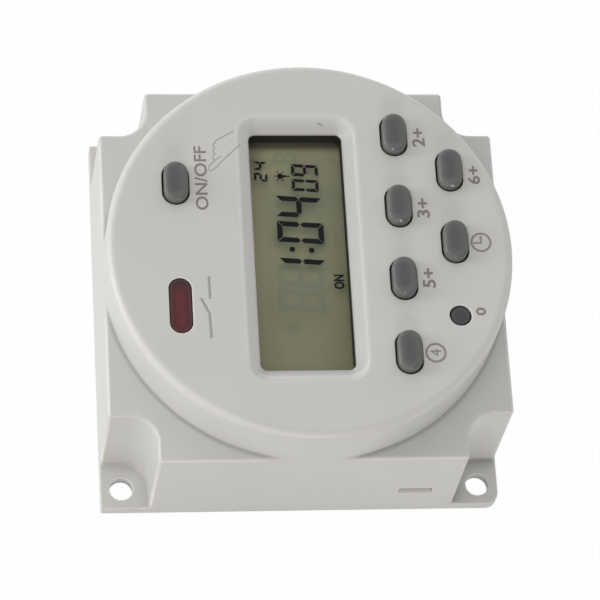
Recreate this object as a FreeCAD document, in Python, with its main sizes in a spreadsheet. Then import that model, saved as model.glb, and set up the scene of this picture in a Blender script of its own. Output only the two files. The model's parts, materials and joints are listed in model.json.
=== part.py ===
import FreeCAD, Part

import functools
import math
import os
import re

import Sketcher

# Digital timer switch for a wall or a panel.
# The origin is the centre of the square back, on the wall it is screwed to, and +Z comes out of the face.
# The screen is read from the right: -X is the top of the face in use, and the wires enter on the +X side.

# Every length is in millimetres and every angle in degrees.
SIZES = {
    # How far a cut passes beyond what it opens
    "overcut": 1.0,
    # Square case, round dial and corner ears
    "case_side": 60.0,
    "shoulder_height": 20.6,
    "face_height": 29.8,
    "wall_draft": 0.64,
    "case_wall": 2.1,
    "shoulder_thickness": 1.8,
    "face_thickness": 1.8,
    "dial_inset": 0.13,
    "dial_wall": 2.02,
    "notch_size": 7.1,
    "notch_radius": 4.0,
    "corner_round": 0.6,
    "shoulder_round": 0.5,
    "dial_round": 1.3,
    "ear_thickness": 1.9,
    "ear_hole_radius": 1.75,
    "ear_hole_inset": 3.1,
    "ear_round_wire_side": 1.8,
    "ear_round_far_side": 0.4,
    # Screen opening in the face, with its sloping rim
    "screen_far_inset": 19.65,
    "screen_key_step": 7.6,
    "screen_end_inset": 8.95,
    "screen_corner": 1.0,
    "rim_width": 1.7,
    "rim_length": 2.25,
    "rim_corner": 3.0,
    "rim_drop": 1.4,
    # Keys and the holes that they slide in
    "key_width": 3.68,
    "key_length": 6.32,
    "key_clearance": 0.2,
    "key_proud": 1.5,
    "key_travel": 1.0,
    "key_round": 0.5,
    "key_dish_depth": 0.28,
    "key_rim": 0.34,
    "key_flange": 0.5,
    "key_flange_thickness": 0.8,
    "key_rest_gap": 0.05,
    "key_guide_length": 1.2,
    "key_guide_wall": 0.8,
    "key_column_step": 7.95,
    "outer_column_inset": 6.6,
    "top_key_inset": 9.9,
    "bottom_key_inset": 11.0,
    "manual_key_inset": 8.45,
    "manual_key_y": 10.15,
    "reset_radius": 1.5,
    "reset_clearance": 0.15,
    "reset_depth": 0.2,
    # Red indicator
    "lens_y": -9.2,
    "lens_width": 3.4,
    "lens_length": 8.7,
    "lens_gap": 0.05,
    "lens_flange": 0.6,
    "lens_flange_thickness": 0.8,
    "lamp_radius": 1.5,
    "lamp_round": 1.35,
    "lamp_headroom": 0.4,
    "lamp_collar_height": 0.8,
    "lamp_collar_width": 0.25,
    "lamp_lead_spacing": 2.0,
    # Liquid crystal screen and the frame that holds it
    "screen_depth": 2.4,
    "pane_thickness": 0.5,
    "glass_thickness": 1.1,
    "glass_overlap": 1.75,
    "glass_ledge": 2.3,
    "reflector_thickness": 0.2,
    "zebra_height": 2.2,
    "zebra_width": 1.8,
    "frame_gap": 0.1,
    "frame_wall": 1.3,
    # Display board and its screws
    "display_board_gap": 0.55,
    "display_board_thickness": 1.2,
    "boss_radius": 1.6,
    "boss_offset": 2.3,
    "boss_hole_floor": 0.5,
    "screw_hole_gap": 0.2,
    "far_boss_inset_x": 11.35,
    "far_boss_inset_y": 9.85,
    "screw_radius": 0.95,
    "screw_head_radius": 1.7,
    "screw_head_height": 1.2,
    "screw_length": 3.6,
    "thread_gap": 0.03,
    "screw_slot_width": 0.5,
    "screw_slot_depth": 0.5,
    "screw_slot_half_length": 1.36,
    # Rubber mats under the keys
    "mat_thickness": 0.8,
    "mat_edge_gap": 0.2,
    "mat_frame_gap": 0.45,
    "mat_hole_gap": 0.4,
    "manual_mat_radius": 4.0,
    "dome_radius": 2.3,
    "dome_height": 1.6,
    "dome_skin": 0.4,
    "dome_slope": 18.0,
    "hollow_slope": 10.8,
    "puck_radius": 1.2,
    # Back cover with its catches and the bay of the wire terminals
    "cover_thickness": 2.0,
    "cover_ledge": 0.9,
    "cover_gap": 0.15,
    "bay_depth": 12.5,
    "bay_height": 10.2,
    "bay_wall": 1.1,
    "bay_back_wall": 1.6,
    "post_radius": 2.3,
    "post_height": 1.4,
    "post_floor": 0.8,
    "catch_inset": 4.4,
    "catch_window_width": 5.0,
    "catch_window_low": 6.8,
    "catch_window_height": 1.95,
    "catch_gap": 0.15,
    "catch_arm_thickness": 1.2,
    "catch_arm_above": 0.7,
    "catch_reach": 1.0,
    "catch_ramp": 0.8,
    "tongue_y": 11.0,
    "tongue_width": 6.0,
    "tongue_low": 3.1,
    "tongue_height": 1.2,
    "tongue_reach": 1.0,
    "tongue_wall": 1.5,
    # Power board and what stands on it
    "power_board_thickness": 1.6,
    "power_board_margin": 1.9,
    "power_board_gap": 0.3,
    "power_board_side_gap": 0.6,
    "near_post_x": 4.5,
    "blade_width": 4.8,
    "blade_thickness": 0.8,
    "blade_root": 5.6,
    "blade_tip_inset": 4.0,
    "blade_chamfer": 1.0,
    "blade_side_gap": 1.15,
    "blade_slot_gap": 0.15,
    "blade_eye_radius": 0.7,
    "blade_eye_inset": 3.4,
    "blade_leg_length": 1.2,
    "tail_length": 0.9,
    "lead_radius": 0.3,
    "lead_gap": 0.05,
    "lead_bend": 1.0,
    "lead_overlap": 0.1,
    "moulded_round": 0.5,
    "relay_length": 19.2,
    "relay_width": 15.5,
    "relay_edge_margin": 6.45,
    "relay_headroom": 0.4,
    "relay_gap": 0.7,
    "relay_pin_row": 6.0,
    "relay_far_pin_inset": 2.0,
    "relay_coil_pin_inset": 4.0,
    "relay_near_pin_inset": 2.8,
    "film_capacitor_length": 13.0,
    "film_capacitor_width": 5.0,
    "film_capacitor_gap": 1.3,
    "film_capacitor_headroom": 4.6,
    "film_capacitor_inset": 0.8,
    "film_capacitor_pin_inset": 1.5,
    "can_radius": 4.0,
    "can_inset_x": 8.5,
    "can_inset_y": 5.7,
    "can_headroom": 4.1,
    "can_pin_spacing": 3.5,
    "varistor_radius": 3.6,
    "varistor_thickness": 3.2,
    "varistor_inset": 6.8,
    "varistor_y": -10.5,
    "varistor_lift": 1.0,
    "varistor_pin_spacing": 5.0,
    "diode_radius": 1.3,
    "diode_length": 4.2,
    "diode_step": 13.5,
    "diode_inset": 1.7,
    "diode_pitch": 2.9,
    "resistor_radius": 1.15,
    "resistor_length": 6.2,
    "resistor_step": 9.0,
    "resistor_inset": 2.0,
    "resistor_pitch": 2.6,
    "transistor_radius": 2.2,
    "transistor_flat": 1.2,
    "transistor_height": 4.5,
    "transistor_lift": 2.0,
    "transistor_step": 5.5,
    "transistor_inset": 3.2,
    "transistor_pin_pitch": 1.27,
    "link_inset": 5.5,
    "link_pitch": 2.0,
    "link_pin_radius": 0.32,
    "link_base_width": 2.4,
    "link_base_height": 2.5,
    "link_pin_proud": 0.5,
    # Small parts under the display board
    "blob_radius": 5.0,
    "blob_height": 1.3,
    "blob_round": 1.15,
    "blob_x": -1.0,
    "blob_y": 11.0,
    "crystal_radius": 1.0,
    "crystal_length": 6.0,
    "crystal_x": 7.0,
    "crystal_y": 15.5,
    "cell_radius": 5.8,
    "cell_height": 5.2,
    "cell_round": 0.8,
    "cell_x": 2.0,
    "cell_inset": 6.9,
    "cell_tab_thickness": 0.2,
    "cell_tab_width": 3.0,
}

doc = FreeCAD.newDocument("TimerSwitch")
sheet = doc.addObject("Spreadsheet::Sheet", "Sizes")
for row, (alias, number) in enumerate(SIZES.items(), start=1):
    sheet.set(f"A{row}", str(number))
    sheet.setAlias(f"A{row}", alias)
doc.recompute()


def formula(text):
    """Write the sheet's name before each size in an expression."""
    return re.sub(r"[a-z]\w*", lambda word: ("Sizes." if word[0] in SIZES else "") + word[0], text)


@functools.lru_cache(maxsize=None)
def value(text):
    """Work out an expression on the sizes as a number."""
    return float(sheet.evalExpression(formula(text)))


# Levels, from the wall outwards

FACE_UNDER = "(face_height - face_thickness)"
CAVITY_ROOF = "(shoulder_height - shoulder_thickness)"
GUIDE_LOW = f"({FACE_UNDER} - key_guide_length)"
FLANGE_TOP = f"({GUIDE_LOW} - key_rest_gap)"
FLANGE_LOW = f"({FLANGE_TOP} - key_flange_thickness)"
KEY_TOP = "(face_height + key_proud)"
RESET_TOP = "(face_height - reset_depth)"
PANE_TOP = f"({FACE_UNDER} - screen_depth)"
PANE_LOW = f"({PANE_TOP} - pane_thickness)"
UPPER_GLASS_LOW = f"({PANE_LOW} - glass_thickness)"
LOWER_GLASS_LOW = f"({UPPER_GLASS_LOW} - glass_thickness)"
REFLECTOR_LOW = f"({LOWER_GLASS_LOW} - reflector_thickness)"
DISPLAY_TOP = f"({UPPER_GLASS_LOW} - zebra_height)"
DISPLAY_LOW = f"({DISPLAY_TOP} - display_board_thickness)"
MAT_TOP = f"({DISPLAY_TOP} + mat_thickness)"
POWER_LOW = "(cover_thickness + post_height)"
POWER_TOP = f"({POWER_LOW} + power_board_thickness)"
BLADE_TOP = f"({POWER_TOP} + blade_thickness)"
TAIL_END = f"({POWER_LOW} - tail_length)"

# Places in plan

HALF_SIDE = "(case_side / 2)"
NOTCH = f"({HALF_SIDE} - notch_size)"
INNER_HALF = f"({HALF_SIDE} - case_wall)"
INNER_NOTCH = f"({NOTCH} - case_wall)"
SEAT_HALF = f"({INNER_HALF} + cover_ledge)"
SEAT_NOTCH = f"({INNER_NOTCH} + cover_ledge)"
DIAL_RADIUS = f"({HALF_SIDE} - dial_inset)"
DIAL_INSIDE = f"({DIAL_RADIUS} - dial_wall)"
DISPLAY_RADIUS = f"({DIAL_INSIDE} - display_board_gap)"
MAT_RADIUS = f"({DISPLAY_RADIUS} - mat_edge_gap)"
OUTER_COLUMN = f"({DIAL_INSIDE} - outer_column_inset)"
INNER_COLUMN = f"({OUTER_COLUMN} - key_column_step)"
MANUAL_X = f"(manual_key_inset - {DIAL_INSIDE})"
BOSS_X = f"({INNER_COLUMN} + boss_offset)"
FAR_BOSS_X = f"(far_boss_inset_x - {DIAL_INSIDE})"
FAR_BOSS_Y = f"({DIAL_INSIDE} - far_boss_inset_y)"
EAR_REACH = f"({HALF_SIDE} - ear_hole_inset)"
EAR_HOLES = [(x, y) for x in (f"-{EAR_REACH}", EAR_REACH) for y in (f"-{EAR_REACH}", EAR_REACH)]
CATCH_X = f"({INNER_NOTCH} - catch_inset)"
BAY_X = f"({HALF_SIDE} - bay_depth)"
BAY_BACK = f"({BAY_X} - bay_back_wall)"
BAY_OUTSIDE = f"({INNER_NOTCH} - cover_gap)"
BAY_HALF = f"({BAY_OUTSIDE} - bay_wall)"
BLADE_PITCH = f"(({BAY_HALF} - blade_side_gap - blade_width / 2) / 2)"
POWER_RIGHT = f"({BAY_BACK} - power_board_gap)"
POWER_LEFT = f"(power_board_margin - {INNER_HALF})"
POWER_HALF = f"({INNER_NOTCH} - power_board_side_gap)"
BLADE_LEFT = f"({POWER_RIGHT} - blade_root)"
BLADE_RIGHT = f"({HALF_SIDE} - blade_tip_inset)"
RELAY_RIGHT = f"({BLADE_LEFT} - relay_gap)"
RELAY_LEFT = f"({RELAY_RIGHT} - relay_length)"
RELAY_LOW_Y = f"(relay_edge_margin - {POWER_HALF})"
RELAY_HIGH_Y = f"({RELAY_LOW_Y} + relay_width)"
RELAY_Y = f"({RELAY_LOW_Y} + relay_width / 2)"
FILM_RIGHT = f"({RELAY_RIGHT} - film_capacitor_inset)"
FILM_LEFT = f"({FILM_RIGHT} - film_capacitor_length)"
FILM_LOW_Y = f"({RELAY_HIGH_Y} + film_capacitor_gap)"
FILM_HIGH_Y = f"({FILM_LOW_Y} + film_capacitor_width)"
CAN_X = f"({POWER_LEFT} + can_inset_x)"
CAN_Y = f"({POWER_HALF} - can_inset_y)"
VARISTOR_X = f"({POWER_LEFT} + varistor_inset)"
DIODE_X = "(near_post_x - diode_step)"
RESISTOR_X = "(near_post_x - resistor_step)"
TRANSISTOR_X = "(near_post_x - transistor_step)"
TRANSISTOR_Y = f"(transistor_inset - {POWER_HALF})"
LINK_X = f"({POWER_LEFT} + link_inset)"
CELL_Y = f"(cell_inset - {DISPLAY_RADIUS})"
SCREEN_LEFT = f"(screen_far_inset - {DIAL_INSIDE})"
SCREEN_RIGHT = f"({INNER_COLUMN} - screen_key_step)"
SCREEN_X = f"(({SCREEN_LEFT} + {SCREEN_RIGHT}) / 2)"
SCREEN_HALF_X = f"(({SCREEN_RIGHT} - {SCREEN_LEFT}) / 2)"
SCREEN_HALF_Y = f"({DIAL_INSIDE} - screen_end_inset)"
GLASS_HALF_X = f"({SCREEN_HALF_X} + glass_overlap)"
LOWER_GLASS_HALF_Y = f"({SCREEN_HALF_Y} + glass_overlap)"
GLASS_HALF_Y = f"({LOWER_GLASS_HALF_Y} + glass_ledge)"
FRAME_HALF_X = f"({GLASS_HALF_X} + frame_gap + frame_wall)"
FRAME_HALF_Y = f"({GLASS_HALF_Y} + frame_gap + frame_wall)"

# The keys are in two staggered columns beside the screen, with one more on the far side of it.
TOP_KEY_Y = f"({DIAL_INSIDE} - top_key_inset)"
BOTTOM_KEY_Y = f"(bottom_key_inset - {DIAL_INSIDE})"
KEY_PITCH = f"(({TOP_KEY_Y} - {BOTTOM_KEY_Y}) / 3)"
INNER_ROWS = [f"({TOP_KEY_Y} - {step} * {KEY_PITCH})" for step in range(4)]
OUTER_ROWS = [f"({TOP_KEY_Y} - {step} * {KEY_PITCH} / 2)" for step in (1, 3)]
RESET_Y = f"({TOP_KEY_Y} - 5 * {KEY_PITCH} / 2)"
LONG_KEYS = {
    "key_minute": (INNER_COLUMN, INNER_ROWS[0]),
    "key_hour": (INNER_COLUMN, INNER_ROWS[1]),
    "key_day": (INNER_COLUMN, INNER_ROWS[2]),
    "key_program": (INNER_COLUMN, INNER_ROWS[3]),
    "key_second": (OUTER_COLUMN, OUTER_ROWS[0]),
    "key_clock": (OUTER_COLUMN, OUTER_ROWS[1]),
    "key_manual": (MANUAL_X, "manual_key_y"),
}
MAT_KEYS = [place for name, place in LONG_KEYS.items() if name != "key_manual"] + [(OUTER_COLUMN, RESET_Y)]
BOSSES = [
    (BOSS_X, OUTER_ROWS[0]),
    (BOSS_X, RESET_Y),
    (FAR_BOSS_X, FAR_BOSS_Y),
    (FAR_BOSS_X, f"-{FAR_BOSS_Y}"),
]
POSTS = [
    (f"({POWER_LEFT} + post_radius)", f"({POWER_HALF} - post_radius)"),
    (f"({POWER_LEFT} + post_radius)", f"(post_radius - {POWER_HALF})"),
    ("near_post_x", f"({POWER_HALF} - post_radius)"),
    ("near_post_x", f"(post_radius - {POWER_HALF})"),
]
LINK_PINS = [(LINK_X, f"({step} * link_pitch)") for step in (-1.5, -0.5, 0.5, 1.5)]
BLADES = [f"({step} * {BLADE_PITCH})" for step in (-2, -1, 0, 1, 2)]
BLADE_LEG_X = f"({BLADE_LEFT} + blade_leg_length)"
BLADE_LEGS = [(BLADE_LEG_X, f"({y} {sign} blade_width / 4)") for y in BLADES for sign in ("-", "+")]
RELAY_PINS = [
    (f"({RELAY_LEFT} + relay_far_pin_inset)", f"({RELAY_Y} - relay_pin_row)"),
    (f"({RELAY_LEFT} + relay_far_pin_inset)", f"({RELAY_Y} + relay_pin_row)"),
    (f"({RELAY_LEFT} + relay_coil_pin_inset)", RELAY_Y),
    (f"({RELAY_RIGHT} - relay_near_pin_inset)", f"({RELAY_Y} - relay_pin_row)"),
    (f"({RELAY_RIGHT} - relay_near_pin_inset)", f"({RELAY_Y} + relay_pin_row)"),
]
FILM_Y = f"({FILM_LOW_Y} + film_capacitor_width / 2)"
FILM_PINS = [
    (f"({FILM_LEFT} + film_capacitor_pin_inset)", FILM_Y),
    (f"({FILM_RIGHT} - film_capacitor_pin_inset)", FILM_Y),
]
CAN_PINS = [(CAN_X, f"({CAN_Y} {sign} can_pin_spacing / 2)") for sign in ("-", "+")]
VARISTOR_PINS = [(VARISTOR_X, f"(varistor_y {sign} varistor_pin_spacing / 2)") for sign in ("-", "+")]
TRANSISTOR_PINS = [(f"({TRANSISTOR_X} + {step} * transistor_pin_pitch)", TRANSISTOR_Y) for step in (-1, 0, 1)]
DIODE_ROWS = [f"(diode_inset + {step} * diode_pitch - {POWER_HALF})" for step in (0, 1)]
RESISTOR_ROWS = [f"({POWER_HALF} - resistor_inset - {step} * resistor_pitch)" for step in (0, 1)]


# Ways to draw a profile

class Drawing:
    """Gathers the lines, arcs and constraints of a sketch, so that the sketch is solved once."""

    def __init__(self):
        self.pieces = []
        self.constraints = []
        self.bound = []

    def draw(self, piece):
        self.pieces.append(piece)
        return len(self.pieces) - 1

    def join(self, kind, *ends):
        self.constraints.append(Sketcher.Constraint(kind, *ends))

    def measure(self, kind, *terms, size):
        """A dimension that follows an expression on the sizes."""
        self.bound.append((len(self.constraints), size))
        self.constraints.append(Sketcher.Constraint(kind, *terms, value(size)))

    def place(self, piece, end, x, y):
        """Tie a point to its place, measured from the sketch's origin."""
        self.measure("DistanceX", -1, 1, piece, end, size=x)
        self.measure("DistanceY", -1, 1, piece, end, size=y)

    def fill(self, sketch):
        sketch.addGeometry(self.pieces, False)
        sketch.addConstraint(self.constraints)
        for number, size in self.bound:
            sketch.setExpression(f"Constraints[{number}]", formula(size))


def whole_circle(x, y, radius):
    return Part.Circle(FreeCAD.Vector(value(x), value(y), 0), FreeCAD.Vector(0, 0, 1), value(radius))


def outline(*points):
    """A closed profile of straight lines through the points."""
    def draw(drawing):
        places = [FreeCAD.Vector(value(x), value(y), 0) for x, y in points]
        following = places[1:] + places[:1]
        lines = [drawing.draw(Part.LineSegment(here, there)) for here, there in zip(places, following)]
        for line, next_line in zip(lines, lines[1:] + lines[:1]):
            drawing.join("Coincident", line, 2, next_line, 1)
        for line, (x, y) in zip(lines, points):
            drawing.place(line, 1, x, y)
    return draw


def rectangle(left, right, low, high):
    return outline((left, low), (right, low), (right, high), (left, high))


def circle(x, y, radius):
    def draw(drawing):
        piece = drawing.draw(whole_circle(x, y, radius))
        drawing.place(piece, 3, x, y)
        drawing.measure("Radius", piece, size=radius)
    return draw


def arcs_and_sides(centres, radius):
    """Equal arcs about the centres, in anticlockwise order, joined by tangent straight sides."""
    def draw(drawing):
        turn = 2 * math.pi / len(centres)
        arcs = [Part.ArcOfCircle(whole_circle(x, y, radius), step * turn, (step + 1) * turn)
                for step, (x, y) in enumerate(centres)]
        ends = [drawing.draw(arc) for arc in arcs]
        for piece, (x, y) in zip(ends, centres):
            drawing.place(piece, 3, x, y)
            drawing.measure("Radius", piece, size=radius)
        for step, piece in enumerate(ends):
            following = (step + 1) % len(ends)
            side = drawing.draw(Part.LineSegment(arcs[step].EndPoint, arcs[following].StartPoint))
            drawing.join("Tangent", piece, 2, side, 1)
            drawing.join("Tangent", side, 2, ends[following], 1)
    return draw


def rounded(left, right, low, high, radius):
    """A rectangle with round corners."""
    inner_left, inner_right = f"({left} + {radius})", f"({right} - {radius})"
    inner_low, inner_high = f"({low} + {radius})", f"({high} - {radius})"
    centres = [(inner_right, inner_high), (inner_left, inner_high)]
    centres += [(inner_left, inner_low), (inner_right, inner_low)]
    return arcs_and_sides(centres, radius)


def slot(x, y, width, length):
    """A slot with round ends, its length along Y."""
    reach = f"((({length}) - ({width})) / 2)"
    return arcs_and_sides([(x, f"({y} + {reach})"), (x, f"({y} - {reach})")], f"(({width}) / 2)")


def middle_rectangle(x, y, half_width, half_length):
    """A rectangle given by its centre."""
    return rectangle(f"({x} - {half_width})", f"({x} + {half_width})", f"({y} - {half_length})",
                     f"({y} + {half_length})")


def middle_rounded(x, y, half_width, half_length, radius):
    """A rectangle with round corners, given by its centre."""
    return rounded(f"({x} - {half_width})", f"({x} + {half_width})", f"({y} - {half_length})",
                   f"({y} + {half_length})", radius)


def circles(places, radius):
    return [circle(x, y, radius) for x, y in places]


def notched_square(half, notch):
    """A square centred on the origin, with a square notch in each corner."""
    return outline(
        (f"-{half}", f"-{notch}"), (f"-{notch}", f"-{notch}"), (f"-{notch}", f"-{half}"),
        (notch, f"-{half}"), (notch, f"-{notch}"), (half, f"-{notch}"),
        (half, notch), (notch, notch), (notch, half),
        (f"-{notch}", half), (f"-{notch}", notch), (f"-{half}", notch))


# Ways to build a piece from its profiles

def new_piece(name):
    piece = doc.addObject("PartDesign::Body", name)
    piece.Label = name
    return piece


def profile_sketch(piece, name, level, profiles, plane):
    """A sketch on one of the piece's own origin planes, moved out along the plane's normal to the level."""
    sketch = piece.newObject("Sketcher::SketchObject", name)
    origin_plane = [feature for feature in piece.Origin.OriginFeatures if feature.Role == plane][0]
    sketch.AttachmentSupport = [(origin_plane, "")]
    sketch.MapMode = "FlatFace"
    sketch.setExpression("AttachmentOffset.Base.z", formula(level))
    drawing = Drawing()
    for draw in profiles:
        draw(drawing)
    drawing.fill(sketch)
    return sketch


def extrude(kind, piece, name, low, high, profiles, taper, plane):
    sketch = profile_sketch(piece, f"{piece.Name}_{name}_sketch", low, profiles, plane)
    feature = piece.newObject(kind, f"{piece.Name}_{name}")
    feature.Profile = sketch
    feature.setExpression("Length", formula(f"{high} - {low}"))
    if taper:
        feature.setExpression("TaperAngle", formula(taper))
    return feature


def add(piece, name, low, high, *profiles, taper=None, plane="XY_Plane"):
    """Fill the profiles from the low level to the high one."""
    return extrude("PartDesign::Pad", piece, name, low, high, profiles, taper, plane)


def cut(piece, name, low, high, *profiles, taper=None, plane="XY_Plane"):
    """Empty the profiles from the low level to the high one."""
    feature = extrude("PartDesign::Pocket", piece, name, low, high, profiles, taper, plane)
    feature.Reversed = True
    return feature


def dress(kind, piece, name, size_name, size, chosen):
    """A fillet or a chamfer on the edges that the test picks."""
    doc.recompute()
    base = piece.Tip
    edges = [f"Edge{number}" for number, edge in enumerate(base.Shape.Edges, start=1) if chosen(edge)]
    feature = piece.newObject(kind, f"{piece.Name}_{name}")
    feature.Base = (base, edges)
    feature.setExpression(size_name, formula(size))
    return feature


def fillet(piece, name, radius, chosen):
    return dress("PartDesign::Fillet", piece, name, "Radius", radius, chosen)


def chamfer(piece, name, size, chosen):
    return dress("PartDesign::Chamfer", piece, name, "Size", size, chosen)


def near(first, second, slack=0.02):
    return abs(first - second) < slack


def lies_at(edge, level):
    """True for an edge that is flat at a level."""
    return near(edge.BoundBox.ZMin, level) and near(edge.BoundBox.ZMax, level)


def is_upright(edge, length):
    return near(edge.BoundBox.ZLength, length, 0.1)


# The front case: a square body with notched corners, the round dial on it and four screw ears

def upright_at(outermost):
    """A test for the block's upright edges at the notches' inner corners, or at their outer ones."""
    half, notch, height = value(HALF_SIDE), value(NOTCH), value("shoulder_height")

    def chosen(edge):
        middle = edge.BoundBox.Center
        reach = max(abs(middle.x), abs(middle.y))
        return is_upright(edge, height) and near(reach, half if outermost else notch, 1)
    return chosen


def ear_corner(side):
    """A test for the upright edges of the ears on one side: 1 for the wire side, -1 for the far side."""
    half, thickness = value(HALF_SIDE), value("ear_thickness")

    def chosen(edge):
        middle = edge.BoundBox.Center
        outermost = near(side * middle.x, half, 0.1) and near(abs(middle.y), half, 0.1)
        return outermost and is_upright(edge, thickness)
    return chosen


def build_front_case():
    case = new_piece("front_case")
    add(case, "block", "0", "shoulder_height", notched_square(HALF_SIDE, NOTCH), taper="-wall_draft")
    fillet(case, "notch_rounds", "notch_radius", upright_at(outermost=False))
    fillet(case, "corner_rounds", "corner_round", upright_at(outermost=True))
    shoulder = value("shoulder_height")
    fillet(case, "shoulder_rounds", "shoulder_round", lambda edge: lies_at(edge, shoulder))
    add(case, "ears", "0", "ear_thickness", middle_rectangle("0", "0", HALF_SIDE, HALF_SIDE),
        taper="-wall_draft")
    fillet(case, "wire_side_ears", "ear_round_wire_side", ear_corner(1))
    fillet(case, "far_side_ears", "ear_round_far_side", ear_corner(-1))
    add(case, "dial", "0", "face_height", circle("0", "0", DIAL_RADIUS))
    face = value("face_height")
    fillet(case, "dial_edge", "dial_round", lambda edge: lies_at(edge, face))
    cut(case, "cover_seat", "-overcut", "cover_thickness", notched_square(SEAT_HALF, SEAT_NOTCH))
    cut(case, "cavity", "-overcut", CAVITY_ROOF, notched_square(INNER_HALF, INNER_NOTCH))
    cut(case, "dial_cavity", f"({CAVITY_ROOF} - overcut)", FACE_UNDER, circle("0", "0", DIAL_INSIDE))
    add_case_guides(case)
    cut_case_openings(case)
    return case


def long_slots(margin):
    """The outlines of the long keys, widened by a margin all round."""
    wide, long = f"(key_width + 2 * {margin})", f"(key_length + 2 * {margin})"
    return [slot(x, y, wide, long) for x, y in LONG_KEYS.values()]


def add_case_guides(case):
    """Collars that guide the keys, and the bosses that the display board is screwed to."""
    skin_middle = "(face_height - face_thickness / 2)"
    collars = long_slots("(key_clearance + key_guide_wall)")
    collars.append(circle(OUTER_COLUMN, RESET_Y, "(reset_radius + reset_clearance + key_guide_wall)"))
    add(case, "key_collars", GUIDE_LOW, skin_middle, *collars)
    add(case, "board_bosses", DISPLAY_TOP, skin_middle, *circles(BOSSES, "boss_radius"))
    cut(case, "boss_holes", f"({DISPLAY_TOP} - overcut)", f"({FACE_UNDER} - boss_hole_floor)",
        *circles(BOSSES, "(screw_radius + thread_gap)"))


def cut_case_openings(case):
    above = "(face_height + overcut)"
    below_guides = f"({GUIDE_LOW} - overcut)"
    reset_hole = circle(OUTER_COLUMN, RESET_Y, "(reset_radius + reset_clearance)")
    cut(case, "key_holes", below_guides, above, *long_slots("key_clearance"), reset_hole)
    below_face = f"({FACE_UNDER} - overcut)"
    cut(case, "lens_hole", below_face, above, slot(MANUAL_X, "lens_y", "lens_width", "lens_length"))
    cut(case, "screen_opening", below_face, above, screen_edge())
    cut_screen_rim(case)
    cut(case, "catch_windows", "catch_window_low", "(catch_window_low + catch_window_height)",
        rectangle(f"({CATCH_X} - catch_window_width / 2)", f"({CATCH_X} + catch_window_width / 2)",
                  f"(-{HALF_SIDE} - overcut)", f"({HALF_SIDE} + overcut)"))
    pocket_end = f"({INNER_HALF} + tongue_reach + catch_gap)"
    cut(case, "tongue_pockets", "(tongue_low - catch_gap)", "(tongue_low + tongue_height + catch_gap)",
        *tongue_profiles(pocket_end, f"({INNER_HALF} - overcut)", "catch_gap"))
    cut(case, "wire_opening", "-overcut", "bay_height",
        rectangle(f"({INNER_HALF} - overcut)", f"({HALF_SIDE} + overcut)", f"(-{BAY_HALF})", BAY_HALF))
    cut(case, "ear_holes", "-overcut", "(ear_thickness + overcut)", *circles(EAR_HOLES, "ear_hole_radius"))


def screen_edge():
    """The sharp edge of the screen's opening."""
    return middle_rounded(SCREEN_X, "0", SCREEN_HALF_X, SCREEN_HALF_Y, "screen_corner")


def cut_screen_rim(case):
    """The slope from the face down to the sharp edge of the screen's opening."""
    wide_x, wide_y = f"({SCREEN_HALF_X} + rim_width)", f"({SCREEN_HALF_Y} + rim_length)"
    top = middle_rounded(SCREEN_X, "0", wide_x, wide_y, "rim_corner")
    top_sketch = profile_sketch(case, "front_case_rim_top", "face_height", [top], "XY_Plane")
    foot_level = "(face_height - rim_drop)"
    foot_sketch = profile_sketch(case, "front_case_rim_foot", foot_level, [screen_edge()], "XY_Plane")
    rim = case.newObject("PartDesign::SubtractiveLoft", "front_case_rim")
    rim.Profile = top_sketch
    rim.Sections = [(foot_sketch, "")]
    rim.Ruled = True


def tongue_profiles(far, near_side, gap):
    """The two tongues in the wall opposite the wires, from a far reach to a near one."""
    return [rectangle(f"(-{far})", f"(-{near_side})", f"({y} - tongue_width / 2 - {gap})",
                      f"({y} + tongue_width / 2 + {gap})") for y in ("tongue_y", "(-tongue_y)")]


# The back cover: a plate that snaps into the case, with the bay that shields the wire terminals

def build_back_cover():
    cover = new_piece("back_cover")
    add(cover, "plate", "0", "cover_thickness",
        notched_square(f"({SEAT_HALF} - cover_gap)", f"({SEAT_NOTCH} - cover_gap)"))
    add(cover, "bay_shell", "0", "(bay_height + bay_wall)",
        rectangle(BAY_BACK, f"({INNER_HALF} - cover_gap)", f"(-{BAY_OUTSIDE})", BAY_OUTSIDE))
    cut(cover, "bay", "-overcut", "bay_height",
        rectangle(BAY_X, f"({HALF_SIDE} + overcut)", f"(-{BAY_HALF})", BAY_HALF))
    half_slot, slot_left, slot_right = "(blade_width / 2 + blade_slot_gap)", f"({BAY_BACK} - overcut)", BAY_X
    cut(cover, "blade_slots", f"({POWER_TOP} - blade_slot_gap)", f"({BLADE_TOP} + blade_slot_gap)",
        *[rectangle(slot_left, slot_right, f"({y} - {half_slot})", f"({y} + {half_slot})") for y in BLADES])
    add(cover, "board_posts", "(cover_thickness / 2)", POWER_LOW, *circles(POSTS, "post_radius"))
    cut(cover, "post_holes", "post_floor", f"({POWER_LOW} + overcut)",
        *circles(POSTS, "(screw_radius + thread_gap)"))
    add_catches(cover)
    return cover


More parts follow.
